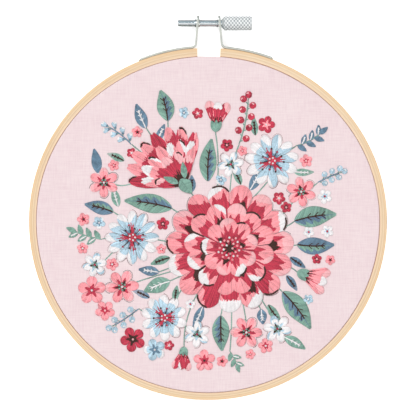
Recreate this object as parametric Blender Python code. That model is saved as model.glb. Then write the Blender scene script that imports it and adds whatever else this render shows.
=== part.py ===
"""Hoop embroidery: a round of pink cotton stitched with flowers, stretched in a bamboo hoop.

The hoop lies on its back with the cloth facing up (+Z) and its thumb screw at the far side (+Y).
The origin is the middle of the underside of the whole piece. Lengths are metres, and MM turns
millimetres into them. The outer ring is split at the top, the inner ring is whole, the cloth is
one piece stretched over the inner ring, and every stitched motif is a low pad on the cloth.
"""

import math

import bmesh
import bpy
from mathutils import Matrix, Vector

MM = 0.001
GAP = 0.32 * MM  # clearance between pieces that touch
MERGE = 0.001 * MM  # points nearer than this are one point

# Hoop
RING_RADIUS = 93.1 * MM  # outer face of the outer ring, at its sides and foot
RING_DEPTH = 9.0 * MM
OUTER_WALL = 3.8 * MM
INNER_WALL = 4.0 * MM
CLOTH_THICK = 1.0 * MM
CLOTH_FACE = 9.5 * MM  # height of the stretched cloth's front
CLOTH_RIM = 1.3 * MM  # how softly the cloth turns over the inner ring
CLOTH_HEM = 0.3 * MM  # its trimmed edge stops this far above the surface
EDGE_ROUND = 0.8 * MM  # worn edges of the wood
RIM_SQUASH = 90.0 / 93.1  # the screw half of the hoop is pulled a little flat
BORE_SQUASH = 85.7 / 89.4  # and its bore a little more than its outside
RING_STEPS = 72
SPLIT_LEFT = -5.7 * MM  # the two ends of the outer ring
SPLIT_RIGHT = 6.5 * MM
TENSION_WAVE = 0.12 * MM  # depth of the pull marks near the rim
TENSION_MARKS = 20
TENSION_BAND = (0.8, 0.9)  # where they lie, as shares of the cloth's radius

# Screw fitting
STRIP_THICK = 1.0 * MM
STRIP_WIDTH = 7.0 * MM  # across the hoop's depth
LUG_TOP = 106.6 * MM  # height above the hoop's middle
LUG_ROUND = 2.0 * MM
LUG_BEND = 2.6 * MM
CLAW_DEPTH = 1.3 * MM
CLAW_TAPER = 0.5
SCREW_UP = 102.96 * MM  # screw axis above the hoop's middle
ROD_RADIUS = 1.6 * MM
BORE_RADIUS = ROD_RADIUS + GAP
BORE_REACH = 4.0 * MM  # the drill's way to each side of a lug
COLLAR_RADIUS = 2.3 * MM
ROD_END = -15.4 * MM
ROD_CHAMFER = 0.3 * MM
KEEPER = (4.1 * MM, 5.0 * MM)  # the peened ring that keeps the screw in the right lug
HEAD_START = 7.15 * MM
HEAD_FULL = 9.4 * MM
HEAD_END = 23.0 * MM
HEAD_RADIUS = 3.65 * MM
HEAD_EDGE = 0.5 * MM
SCREW_STEPS = 24

# The hoop's middle is below the origin, so that the origin halves the whole length with the lugs
HOOP_Y = -(LUG_TOP - RING_RADIUS) / 2
SCREW_Y = HOOP_Y + SCREW_UP
MID_DEPTH = RING_DEPTH / 2

# Stitched pads
PAD_BASE = CLOTH_FACE + GAP
PAD_EDGE = 0.35 * MM  # height of a pad's wall
PAD_CROWN = 0.35 * MM  # and how much more its middle swells
STEM_HALF = 0.55  # half the width of a stitched stem, in mm
LOBE_LEAN = math.radians(45)  # how far a sprig's side lobes lean out from its stem
SPRAY_SCALE = 0.95  # the whole spray of flowers is drawn at this share of its table's sizes

WOOD = (0.863, 0.665, 0.451)
STEEL = (0.62, 0.64, 0.66)
PINK = (0.905, 0.741, 0.753)
SALMON = (0.913, 0.292, 0.319)
CRIMSON = (0.533, 0.053, 0.091)
WHITE = (0.896, 0.896, 0.905)
SKY = (0.462, 0.658, 0.768)
SLATE = (0.114, 0.231, 0.352)
GREEN = (0.188, 0.413, 0.305)

# The tables below are in mm from the hoop's middle and in degrees. The spray's are at full scale

# The strips: x of the claw, of the lug's foot and of its top, and where a threaded collar lies
STRIP_COLUMNS = ("claw", "foot", "top", "collar")
STRIPS = {
    "strip_left": (-35.6, -6.2, -5.1, (-6.9, -4.3)),
    "strip_right": (33.3, 7.1, 5.85, None),
}

# Flowers seen from above
BLOOM_COLUMNS = ("x", "y", "radius", "petals", "tiers", "notch", "turn", "colour")
BLOOMS = {
    "bloom_dahlia": (12, -15, 35, 15, 3, 0.86, 6, SALMON),
    "aster_top": (35, 33, 14.5, 11, 1, 0.7, 10, SKY),
    "aster_left": (-41.5, -9, 14.5, 12, 1, 0.7, 0, SKY),
    "aster_low": (-24, -53, 12.5, 10, 1, 0.7, 20, SKY),
    "star_1": (12.5, 31, 7, 6, 1, 0.55, 12, WHITE),
    "star_2": (51, 16, 8, 6, 1, 0.55, 40, SALMON),
    "star_3": (21, -61, 8.5, 6, 1, 0.55, 0, SALMON),
    "star_4": (-6, -62, 7, 6, 1, 0.55, 25, WHITE),
    "star_5": (-47, -36, 9, 6, 1, 0.55, 5, SALMON),
    "star_6": (-57, 21, 8, 6, 1, 0.55, 30, SALMON),
    "star_7": (38, -59, 7.5, 6, 1, 0.55, 50, WHITE),
    "star_8": (-62, -24, 6.5, 6, 1, 0.55, 15, WHITE),
}

# Flowers seen from the side, from the point that they spring from
FAN_COLUMNS = ("x", "y", "radius", "toward", "spread", "lobes", "colour")
FANS = {
    "bloom_carnation": (-12, 19, 35, 128, 56, 9, CRIMSON),
    "tulip_right": (49, -28, 18, -20, 28, 3, SALMON),
    "tulip_low": (-13, -69, 13, 262, 28, 3, CRIMSON),
    "tulip_top": (4, 49, 17, 84, 28, 3, CRIMSON),
}

# Leaves, from the end at the stem
LEAF_COLUMNS = ("x", "y", "toward", "length", "width", "bend", "colour")
LEAVES = {
    "leaf_1": (47.5, 0, 18, 23, 11, -18, GREEN),
    "leaf_2": (49, -13, -8, 20, 9, 16, SLATE),
    "leaf_3": (41, -39, -44, 25, 11, -18, GREEN),
    "leaf_4": (7, -52, -92, 19, 9, 8, GREEN),
    "leaf_5": (-21, -33, 196, 15, 8, 12, GREEN),
    "leaf_6": (-20, 7, 163, 26, 10, 16, GREEN),
    "leaf_7": (0, 22, 94, 23, 9, -18, GREEN),
    "leaf_8": (-22, 55, 96, 17, 9, 16, GREEN),
    "leaf_9": (-52, 5, 158, 16, 7, 14, SLATE),
    "leaf_10": (29, -48.5, -82, 8, 5, 0, SLATE),
    "leaf_11": (-27, -28, 172, 11, 5, 0, SLATE),
    "leaf_12": (-34, 51, 118, 14, 6, -12, SLATE),
}

# Sprigs: a bent stem with pairs of lobes and one on its tip, which are leaflets, bells or berries
SPRIG_COLUMNS = ("x", "y", "toward", "length", "bend", "pairs", "lobe", "kind", "colour")
SPRIGS = {
    "sprig_top": (17, 42, 70, 24, 16, 4, 5.5, "berry", CRIMSON),
    "sprig_slate": (48, 41, 14, 15, 26, 3, 5.5, "leaflet", SLATE),
    "sprig_bells": (-42, 42, 132, 15, 20, 3, 5, "bell", SKY),
    "sprig_left": (-58, -10, 172, 15, -16, 3, 5.5, "leaflet", GREEN),
    "sprig_sky": (-38, -48, 220, 16, -12, 3, 5, "berry", SKY),
    "sprig_low": (12, -71.5, -52, 8, -20, 2, 4.5, "leaflet", GREEN),
    "sprig_right": (60, 21, 30, 13, -12, 3, 4.5, "berry", SKY),
}

# A lobe's half width along its reach: pairs of shares of the reach
LOBE_SHAPES = {
    "leaflet": ((0.3, 0.15), (0.55, 0.23), (0.8, 0.16), (1.0, 0.04)),
    "bell": ((0.3, 0.12), (0.65, 0.22), (1.0, 0.3)),
    "berry": ((0.35, 0.08), (0.5, 0.26), (0.8, 0.28), (1.0, 0.12)),
}


def rows(columns, table):
    """Each row of a table with its name and its sizes by column."""
    for name, values in table.items():
        yield name, dict(zip(columns, values))


def material(name, colour, roughness, metallic=0.0):
    """A plain Principled material of one colour."""
    made = bpy.data.materials.new(name)
    made.use_nodes = True
    shader = made.node_tree.nodes["Principled BSDF"]
    shader.inputs["Base Color"].default_value = (*colour, 1.0)
    shader.inputs["Roughness"].default_value = roughness
    shader.inputs["Metallic"].default_value = metallic
    return made


def add_object(name, bm, finish=None):
    """Turns a finished bmesh into an object of this name. A cutter has no finish."""
    mesh = bpy.data.meshes.new(name)
    if finish:
        bmesh.ops.recalc_face_normals(bm, faces=bm.faces)
        mesh.materials.append(finish)
    bm.to_mesh(mesh)
    bm.free()
    if finish:
        mesh.shade_smooth()
        mesh.set_sharp_from_angle(angle=math.radians(35))
    made = bpy.data.objects.new(name, mesh)
    bpy.context.collection.objects.link(made)
    return made


def combine(target, other, operation):
    """Adds one solid to another, or cuts it away, with a Boolean modifier."""
    other.hide_render = True
    other.display_type = "WIRE"
    modifier = target.modifiers.new(other.name, "BOOLEAN")
    modifier.operation = operation
    modifier.solver = "EXACT"
    modifier.object = other


def chain(bm, points, closed):
    """Edges through these points in turn."""
    corners = [bm.verts.new(point) for point in points]
    ends = corners[1:] + corners[:1] if closed else corners[1:]
    return [bm.edges.new(pair) for pair in zip(corners, ends)]


# ---------------------------------------------------------------- rings and cloth

def ring_section(inside, outside, top, steps):
    """The rectangle that a wooden ring is cut to, its corners rounded in this many steps."""
    bm = bmesh.new()
    chain(bm, [(inside, 0, 0), (outside, 0, 0), (outside, 0, top), (inside, 0, top)], closed=True)
    bm.faces.new(bm.verts)
    bmesh.ops.bevel(bm, geom=bm.verts[:] + bm.edges[:], offset=EDGE_ROUND, offset_type="OFFSET",
                    affect="VERTICES", segments=steps, profile=0.5, material=-1)
    bm.faces.ensure_lookup_table()
    section = [corner.co.copy() for corner in bm.faces[0].verts]
    bm.free()
    return section


def turned(section, start=0.0, sweep=math.tau, steps=RING_STEPS, closed=True):
    """A bmesh of this section turned about Z. A part turn gets its two ends closed."""
    bm = bmesh.new()
    edges = chain(bm, section, closed)
    whole = sweep >= math.tau
    bmesh.ops.rotate(bm, verts=bm.verts, cent=(0, 0, 0), matrix=Matrix.Rotation(start, 3, "Z"))
    bmesh.ops.spin(bm, geom=bm.verts[:] + edges, cent=(0, 0, 0), axis=(0, 0, 1), angle=sweep,
                   steps=steps, use_merge=whole, use_duplicate=False)
    bmesh.ops.remove_doubles(bm, verts=bm.verts, dist=MERGE)
    if not whole:
        open_edges = [edge for edge in bm.edges if edge.is_boundary]
        bmesh.ops.holes_fill(bm, edges=open_edges, sides=0)
    return bm


def pull_flat(bm):
    """Moves a round hoop piece to its place, with its upper half a little flattened."""
    for vert in bm.verts:
        x, y, z = vert.co
        if y > 0:
            wall_share = (math.hypot(x, y) - (RING_RADIUS - OUTER_WALL)) / OUTER_WALL
            wall_share = min(max(wall_share, 0.0), 1.0)
            y *= BORE_SQUASH + (RIM_SQUASH - BORE_SQUASH) * wall_share
        vert.co = (x, y + HOOP_Y, z)


def outer_ring(finish):
    """The split bamboo ring, with a pocket for each strip's claw."""
    start = math.acos(SPLIT_LEFT / RING_RADIUS)
    end = math.tau + math.acos(SPLIT_RIGHT / RING_RADIUS)
    bm = turned(ring_section(RING_RADIUS - OUTER_WALL, RING_RADIUS, RING_DEPTH, 2), start, end - start)
    pull_flat(bm)
    ring = add_object("ring_outer", bm, finish)
    for name, sizes in rows(STRIP_COLUMNS, STRIPS):
        combine(ring, claw_pocket(name, sizes), "DIFFERENCE")


def inner_ring(finish):
    """The whole ring under the cloth."""
    outside = RING_RADIUS - OUTER_WALL - CLOTH_THICK - 2 * GAP
    top = CLOTH_FACE - CLOTH_THICK - GAP
    bm = turned(ring_section(outside - INNER_WALL, outside, top, 1))
    pull_flat(bm)
    add_object("ring_inner", bm, finish)


def cloth_section():
    """The cloth from its middle over the rim to its trimmed edge, and back along its underside."""
    outside = RING_RADIUS - OUTER_WALL - GAP
    inside = outside - CLOTH_THICK
    underside = CLOTH_FACE - CLOTH_THICK
    inner_bend = CLOTH_RIM - CLOTH_THICK
    shares = (0.0, 0.45, *TENSION_BAND)
    face = [Vector((outside * share, 0, CLOTH_FACE)) for share in shares]
    rim = []
    for degrees in (90, 60, 30, 0):
        angle = math.radians(degrees)
        rim.append(Vector((outside - CLOTH_RIM * (1 - math.cos(angle)), 0,
                           CLOTH_FACE - CLOTH_RIM * (1 - math.sin(angle)))))
    hem = [Vector((outside, 0, CLOTH_HEM)), Vector((inside, 0, CLOTH_HEM))]
    turn = [Vector((inside, 0, underside - inner_bend)), Vector((inside - inner_bend, 0, underside))]
    back = [Vector((outside * share, 0, underside)) for share in reversed(shares)]
    return face + rim + hem + turn + back


def cloth(finish):
    """The stretched cotton, one sheet, with shallow pull marks where the rings grip it."""
    bm = turned(cloth_section(), closed=False)
    low, high = (share * (RING_RADIUS - OUTER_WALL - GAP) for share in TENSION_BAND)
    for vert in bm.verts:
        if low - MERGE < math.hypot(vert.co.x, vert.co.y) < high + MERGE:
            pull = math.sin(TENSION_MARKS * math.atan2(vert.co.y, vert.co.x))
            vert.co.z -= TENSION_WAVE * (0.5 + 0.5 * pull)
    pull_flat(bm)
    add_object("cloth", bm, finish)


# ---------------------------------------------------------------- screw fitting

def on_rim(x, standoff):
    """The point above this x, this far outside the outer ring's upper face."""
    radius = RING_RADIUS + standoff
    return Vector((x, RIM_SQUASH * math.sqrt(radius * radius - x * x), 0))


def into_wood(x):
    """The way straight into the outer ring above this x."""
    rim = on_rim(x, 0)
    return -Vector((rim.x, rim.y / RIM_SQUASH ** 2, 0)).normalized()


def claw_pocket(name, sizes):
    """The cutter for the slot that a strip's claw sits in."""
    x = sizes["claw"] * MM
    inward = into_wood(x)
    middle = on_rim(x, 0) + Vector((0, HOOP_Y, MID_DEPTH))
    size = (STRIP_THICK + 2 * GAP, 2 * (CLAW_DEPTH + GAP), STRIP_WIDTH + 2 * GAP, 1)
    turn = Matrix.Rotation(math.atan2(inward.y, inward.x) - math.pi / 2, 4, "Z")
    bm = bmesh.new()
    bmesh.ops.create_cube(bm, size=1, matrix=Matrix.Translation(middle) @ turn @ Matrix.Diagonal(size))
    return add_object(name + "_pocket", bm)


def rod_along_x(name, low, high, radius):
    """A round cutter along the screw's axis."""
    place = Matrix.Translation(((low + high) / 2, SCREW_Y, MID_DEPTH)) @ Matrix.Rotation(math.pi / 2, 4, "Y")
    bm = bmesh.new()
    bmesh.ops.create_cone(bm, cap_ends=True, segments=SCREW_STEPS, radius1=radius, radius2=radius,
                          depth=high - low, matrix=place)
    return add_object(name, bm)


def strip_path(sizes):
    """The middle line of a strip: claw, foot along the ring, bend, and lug."""
    side = 1 if sizes["claw"] > 0 else -1
    standoff = GAP + STRIP_THICK / 2
    claw_x = sizes["claw"] * MM
    bend_x = sizes["foot"] * MM + side * LUG_BEND
    path = [on_rim(claw_x, 0) + into_wood(claw_x) * CLAW_DEPTH]
    foot_steps = 9
    for step in range(foot_steps + 1):
        path.append(on_rim(claw_x + (bend_x - claw_x) * step / foot_steps, standoff))
    centre = path[-1] + Vector((0, LUG_BEND, 0))
    for degrees in (20, 40, 60, 80):
        angle = math.radians(degrees)
        path.append(centre - LUG_BEND * Vector((side * math.sin(angle), math.cos(angle), 0)))
    path.append(Vector((sizes["top"] * MM, LUG_TOP, 0)))
    return path


def band_outline(path, thickness):
    """The closed outline of a band of this thickness along a path in the XY plane."""
    left, right = [], []
    for number, point in enumerate(path):
        ways = []
        if number > 0:
            ways.append((point - path[number - 1]).normalized())
        if number < len(path) - 1:
            ways.append((path[number + 1] - point).normalized())
        along = sum(ways, Vector()).normalized()
        across = Vector((-along.y, along.x, 0))
        half = thickness / 2 / along.dot(ways[0])
        left.append(point + across * half)
        right.append(point - across * half)
    return left + right[::-1]


def strip(name, sizes, finish):
    """One bent steel strip with a claw, a foot along the ring and a drilled lug."""
    bm = bmesh.new()
    lowest = Vector((0, HOOP_Y, MID_DEPTH - STRIP_WIDTH / 2))
    chain(bm, [lowest + point for point in band_outline(strip_path(sizes), STRIP_THICK)], closed=True)
    outline = bm.faces.new(bm.verts)
    raised = bmesh.ops.extrude_face_region(bm, geom=[outline])["geom"]
    upper = [item for item in raised if isinstance(item, bmesh.types.BMVert)]
    bmesh.ops.translate(bm, verts=upper, vec=(0, 0, STRIP_WIDTH))

    x = sizes["claw"] * MM
    claw_root = on_rim(x, 0) + Vector((0, HOOP_Y, 0))
    for vert in bm.verts:
        if (vert.co - claw_root).dot(into_wood(x)) > CLAW_DEPTH / 2:
            vert.co.z = MID_DEPTH + (vert.co.z - MID_DEPTH) * CLAW_TAPER

    lug_end = HOOP_Y + LUG_TOP - STRIP_THICK
    corners = [edge for edge in bm.edges
               if min(vert.co.y for vert in edge.verts) > lug_end
               and abs(edge.verts[0].co.z - edge.verts[1].co.z) < MERGE]
    bmesh.ops.bevel(bm, geom=corners, offset=LUG_ROUND, offset_type="OFFSET", affect="EDGES",
                    segments=3, profile=0.5, material=-1)
    made = add_object(name, bm, finish)
    if sizes["collar"]:
        low, high = (end * MM for end in sizes["collar"])
        combine(made, rod_along_x(name + "_collar", low, high, COLLAR_RADIUS), "UNION")
    lug_x = sizes["top"] * MM
    bore = rod_along_x(name + "_bore", lug_x - BORE_REACH, lug_x + BORE_REACH, BORE_RADIUS)
    combine(made, bore, "DIFFERENCE")


def thumb_screw(finish):
    """The turned screw: rod, peened keeper, and a head with a tapered neck. It turns about its origin."""
    low, high = KEEPER
    profile = [
        (ROD_END, 0.0),
        (ROD_END, ROD_RADIUS - ROD_CHAMFER),
        (ROD_END + ROD_CHAMFER, ROD_RADIUS),
        (low, ROD_RADIUS),
        (low, COLLAR_RADIUS),
        (high, COLLAR_RADIUS),
        (high, ROD_RADIUS),
        (HEAD_START, ROD_RADIUS),
        (HEAD_START, ROD_RADIUS + HEAD_EDGE),
        (HEAD_FULL, HEAD_RADIUS),
        (HEAD_END - HEAD_EDGE, HEAD_RADIUS),
        (HEAD_END, HEAD_RADIUS - HEAD_EDGE),
        (HEAD_END, 0.0),
    ]
    bm = turned([(radius, 0, along) for along, radius in profile], steps=SCREW_STEPS, closed=False)
    made = add_object("thumb_screw", bm, finish)
    made.location = (0, SCREW_Y, MID_DEPTH)
    made.rotation_euler = (0, math.pi / 2, 0)


# ---------------------------------------------------------------- stitched motifs

def on_cloth(x, y, height=0.0):
    """A place in the spray, from its x and y in the tables, this high over the pads' base."""
    return Vector((x * MM * SPRAY_SCALE, y * MM * SPRAY_SCALE + HOOP_Y, PAD_BASE + height))


def pad(name, shape, along, across, finish):
    """A low closed pad. shape(u, v), both from 0 to 1, gives x and y in mm and the top's height."""
    bm = bmesh.new()
    bmesh.ops.create_grid(bm, x_segments=along, y_segments=across, size=0.5)
    for vert in bm.verts:
        vert.co = on_cloth(*shape(vert.co.x + 0.5, vert.co.y + 0.5))
    bmesh.ops.remove_doubles(bm, verts=bm.verts, dist=MERGE)
    lowered = bmesh.ops.extrude_face_region(bm, geom=bm.faces[:], use_keep_orig=True)["geom"]
    base = [item for item in lowered if isinstance(item, bmesh.types.BMFace)]
    for face in base:
        for vert in face.verts:
            vert.co.z = PAD_BASE
    bmesh.ops.dissolve_faces(bm, faces=base, use_verts=False)
    left_over = [edge for edge in bm.edges if not edge.link_faces]
    bmesh.ops.delete(bm, geom=left_over, context="EDGES")
    left_over = [vert for vert in bm.verts if not vert.link_faces]
    bmesh.ops.delete(bm, geom=left_over, context="VERTS")
    add_object(name, bm, finish)


def bloom(name, sizes, finish):
    """A flower from above: a scalloped outline and one low step for each tier of petals."""
    tiers = sizes["tiers"]

    def shape(u, v):
        angle = v * math.tau + math.radians(sizes["turn"])
        lobe = abs(math.cos(sizes["petals"] * v * math.pi)) ** 0.7
        reach = sizes["radius"] * u * (1 - (1 - sizes["notch"]) * (1 - lobe) * u)
        swell = PAD_CROWN * (1 - u) + 0.3 * PAD_CROWN * math.sin(u * tiers * math.pi) ** 2
        crease = 0.25 * PAD_CROWN * (1 - lobe) * math.sin(u * math.pi)
        x = sizes["x"] + reach * math.cos(angle)
        y = sizes["y"] + reach * math.sin(angle)
        return x, y, PAD_EDGE + swell - crease

    pad(name, shape, 2 * tiers + 1, 4 * sizes["petals"], finish)


def fan(name, sizes, finish):
    """A flower from the side: petals fanned from one point, with a lobed edge."""
    spread = math.radians(sizes["spread"])

    def shape(u, v):
        swing = (2 * v - 1) * spread
        angle = math.radians(sizes["toward"]) + swing
        lobe = abs(math.cos(sizes["lobes"] * (v - 0.5) * math.pi)) ** 0.8
        reach = sizes["radius"] * (0.12 + 0.88 * u) * (1 - 0.1 * (1 - lobe) * u)
        swell = PAD_CROWN * math.sin(math.pi * min(max(u, 0.05), 0.95)) * math.cos(swing / 2)
        x = sizes["x"] + reach * math.cos(angle)
        y = sizes["y"] + reach * math.sin(angle)
        return x, y, PAD_EDGE + swell

    pad(name, shape, 4, max(2 * sizes["lobes"], 10), finish)


def along_curve(sizes, share):
    """The point this share of the way along a bent stem, in mm, and its heading in radians."""
    start = math.radians(sizes["toward"])
    turn = math.radians(sizes["bend"])
    x, y = sizes["x"], sizes["y"]
    steps = 8
    for step in range(steps):
        heading = start + turn * share * (step + 0.5) / steps
        x += math.cos(heading) * sizes["length"] * share / steps
        y += math.sin(heading) * sizes["length"] * share / steps
    return x, y, start + turn * share


def leaf(name, sizes, finish):
    """A pointed leaf on a curved midrib, crowned on both sides of its vein."""
    def shape(u, v):
        x, y, heading = along_curve(sizes, u)
        half = sizes["width"] / 2 * (0.08 + 0.92 * math.sin(math.pi * u ** 0.8))
        side = (2 * v - 1) * half
        crown = PAD_CROWN * math.sin(math.pi * u) * abs(math.sin(math.tau * v))
        return x - side * math.sin(heading), y + side * math.cos(heading), PAD_EDGE + crown

    pad(name, shape, 7, 4, finish)


def sprig(name, sizes, finish):
    """A stem with its side walls drawn out into lobes, all in one closed piece."""
    steps = 2 * sizes["pairs"]
    bm = bmesh.new()
    bmesh.ops.create_grid(bm, x_segments=steps, y_segments=1, size=0.5)
    for vert in bm.verts:
        x, y, heading = along_curve(sizes, vert.co.x + 0.5)
        side = 2 * vert.co.y * STEM_HALF
        vert.co = on_cloth(x - side * math.sin(heading), y + side * math.cos(heading))
    raised = bmesh.ops.extrude_face_region(bm, geom=bm.faces[:])["geom"]
    upper = [item for item in raised if isinstance(item, bmesh.types.BMVert)]
    bmesh.ops.translate(bm, verts=upper, vec=(0, 0, PAD_EDGE))

    # One lobe in the middle of each step, on alternate sides, and one on the tip
    lobes = []
    for step in range(steps + 1):
        side = 0 if step == steps else 1 if step % 2 else -1
        x, y, heading = along_curve(sizes, min((step + 0.5) / steps, 1.0))
        place = on_cloth(x - side * STEM_HALF * math.sin(heading),
                         y + side * STEM_HALF * math.cos(heading), PAD_EDGE / 2)
        wall = min(bm.faces, key=lambda face: (face.calc_center_median() - place).length)
        lobes.append((wall, heading + side * LOBE_LEAN))
    for wall, lean in lobes:
        draw_lobe(bm, wall, lean, sizes)
    add_object(name, bm, finish)


def draw_lobe(bm, wall, lean, sizes):
    """Draws one wall of a stem out into a lobe that points this way, in radians."""
    outward = Vector((math.cos(lean), math.sin(lean), 0))
    across = Vector((outward.y, -outward.x, 0))
    reach = sizes["lobe"] * MM * SPRAY_SCALE
    root = wall.calc_center_median()
    sides = [((vert.co - root).dot(across) > 0, vert.co.z > root.z) for vert in wall.verts]
    for share, width in LOBE_SHAPES[sizes["kind"]]:
        wall = bmesh.ops.extrude_discrete_faces(bm, faces=[wall])["faces"][0]
        for vert, (beyond, on_top) in zip(wall.verts, sides):
            vert.co = root + outward * (share * reach) + across * (width * reach * (1 if beyond else -1))
            vert.co.z = PAD_BASE + (PAD_EDGE + PAD_CROWN / 2 if on_top else 0.0)


def main():
    """Clears the scene and builds every piece."""
    for old in list(bpy.data.objects):
        bpy.data.objects.remove(old, do_unlink=True)
    outer_ring(material("bamboo", WOOD, 0.5))
    inner_ring(material("bamboo_inner", WOOD, 0.55))
    cloth(material("pink_cotton", PINK, 0.9))
    for name, sizes in rows(STRIP_COLUMNS, STRIPS):
        strip(name, sizes, material("zinc_" + name, STEEL, 0.35, 1.0))
    thumb_screw(material("zinc_screw", STEEL, 0.3, 1.0))
    motifs = (
        (BLOOM_COLUMNS, BLOOMS, bloom),
        (FAN_COLUMNS, FANS, fan),
        (LEAF_COLUMNS, LEAVES, leaf),
        (SPRIG_COLUMNS, SPRIGS, sprig),
    )
    for columns, table, build in motifs:
        for name, sizes in rows(columns, table):
            build(name, sizes, material("thread_" + name, sizes["colour"], 0.6))


main()
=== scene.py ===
# %% [markdown]
# # Flowers stitched in a wooden hoop
#
# The object is a round of pale pink cotton, embroidered with a spray of flowers and kept
# drum-tight between two bamboo rings. The outer ring is split at the top, and a thumb screw
# through two steel lugs pulls its ends together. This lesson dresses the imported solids: each
# step makes one piece or one finish, says what it is on the real object, and why it is made
# in this way. All sizes are real and in metres; MM turns millimetres into them.

# %% The frame
import math

import bmesh
import bpy
import numpy as np
from mathutils import Matrix, Vector


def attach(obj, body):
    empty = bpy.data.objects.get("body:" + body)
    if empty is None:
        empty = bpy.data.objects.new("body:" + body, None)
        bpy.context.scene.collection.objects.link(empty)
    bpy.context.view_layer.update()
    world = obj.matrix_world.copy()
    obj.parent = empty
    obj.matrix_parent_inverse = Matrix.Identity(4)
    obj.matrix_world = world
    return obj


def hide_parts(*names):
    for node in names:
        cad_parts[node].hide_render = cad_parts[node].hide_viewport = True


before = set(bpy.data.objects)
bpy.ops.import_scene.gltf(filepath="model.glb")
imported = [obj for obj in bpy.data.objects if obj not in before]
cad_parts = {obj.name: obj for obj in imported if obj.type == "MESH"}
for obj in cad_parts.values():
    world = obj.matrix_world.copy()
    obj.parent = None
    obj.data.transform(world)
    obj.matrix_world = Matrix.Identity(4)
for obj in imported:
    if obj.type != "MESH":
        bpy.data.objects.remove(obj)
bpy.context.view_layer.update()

MM = 0.001
MERGE = 0.001 * MM
rng = np.random.default_rng(11)

# %% [markdown]
# ## The camera
#
# The photo looks straight down on the hoop. The ring is as round at its edges as in its
# middle, and no side of it shows, so the lens is long and far away: at 400 mm the 36 mm
# sensor sees a field that is the distance times 36/400. One picture point is 0.52 mm, so 416
# of them are 216.3 mm.

# %% Camera
PICTURE_POINTS, POINT = 416, 0.52  # the picture's width in points, and a point's in mm
FIELD = PICTURE_POINTS * POINT * MM
LENS, SENSOR = 400.0, 36.0
FACE_HEIGHT = 9.0 * MM  # the front of the wooden ring, where the scale was read


def linked(name, data):
    """A new object that holds this mesh, lamp or camera, linked to the scene."""
    made = bpy.data.objects.new(name, data)
    bpy.context.scene.collection.objects.link(made)
    return made


eye = linked("camera", bpy.data.cameras.new("camera"))
eye.data.lens, eye.data.sensor_width = LENS, SENSOR
eye.data.clip_start, eye.data.clip_end = 0.05, 10.0
eye.location = (0, 0, FACE_HEIGHT + FIELD * LENS / SENSOR)
bpy.context.scene.camera = eye
print("camera height: %.3f m" % eye.location.z)

# %% [markdown]
# ## Light
#
# The photo is a cut-out on pure white with no cast shadow, so the light comes softly from
# all around. One large lamp from the upper left gives the stitches their relief, and a weaker
# one from the lower right opens the shadows. Bright metal shows only what it mirrors, and
# would look like paper in an all-white room, so a photographer sets up cards: here mirrored
# rays alone meet a white card overhead with a bluish and a dark one beside it. The Light Path
# node tells such rays from the camera's own, which see plain white behind the object.

# %% A helper for nodes
def node(tree, kind, inputs=None, **settings):
    """Adds a shader node. An input that is a socket is linked, and any other is set."""
    made = tree.nodes.new("ShaderNode" + kind)
    for key, value in settings.items():
        setattr(made, key, value)
    for key, value in (inputs or {}).items():
        if isinstance(value, bpy.types.NodeSocket):
            tree.links.new(value, made.inputs[key])
        else:
            made.inputs[key].default_value = value
    return made


def maths(tree, operation, *values):
    """One step of arithmetic on sockets or numbers."""
    return node(tree, "Math", dict(enumerate(values)), operation=operation).outputs[0]


# %% Ramps, noise and mixtures
def ramp(tree, value, stops):
    """A colour ramp from a value, with stops of (place, linear colour)."""
    made = node(tree, "ValToRGB", {"Fac": value})
    places = made.color_ramp.elements
    while len(places) < len(stops):
        places.new(0.5)
    for element, (place, colour) in zip(places, stops):
        element.position = place
        element.color = (*colour, 1.0)
    return made.outputs["Color"]


def stretched_noise(tree, vector, stretch, detail=3.0, roughness=0.55):
    """Noise on coordinates that are scaled by stretch, in cells for each metre."""
    placed = node(tree, "Mapping", {"Vector": vector, "Scale": stretch}).outputs["Vector"]
    return node(tree, "TexNoise", {"Vector": placed, "Scale": 1.0, "Detail": detail,
                                   "Roughness": roughness}).outputs["Fac"]


def stepped(tree, value, low, high):
    """0 below low, 1 above high, and a straight slope between."""
    made = node(tree, "MapRange", {"Value": value, "From Min": low, "From Max": high})
    return made.outputs["Result"]


def mix(tree, share, one, other, blend="MIX"):
    """Two colours mixed."""
    made = node(tree, "Mix", {0: share, 6: one, 7: other}, data_type="RGBA", blend_type=blend)
    return made.outputs[2]


def linear(red, green, blue):
    """A colour as read from the photo, 0 to 255, as the linear light that Blender works in."""
    shares = [value / 255 for value in (red, green, blue)]
    return tuple(s / 12.92 if s <= 0.04045 else ((s + 0.055) / 1.055) ** 2.4 for s in shares)


def paint(red, green, blue):
    """The same with its alpha, as a shader's socket takes it."""
    return (*linear(red, green, blue), 1)


# %% Sky
SKY_LIGHT = 0.58
WHITE_LIGHT = (1, 1, 1, 1)
# how far a mirrored ray leans from straight up, in degrees towards the screw, and what it meets
MIRRORED = (
    (-90, 0.10, 0.11, 0.12), (-52, 0.15, 0.16, 0.17), (-42, 0.98, 0.98, 0.98),
    (6, 1.04, 1.04, 1.04), (18, 0.34, 0.44, 0.49), (60, 0.40, 0.48, 0.52),
    (90, 0.45, 0.52, 0.55),
)
SIDE_CARD = (0.4, 0.45, 0.47, 1)  # what it meets far to the left or the right

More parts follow.
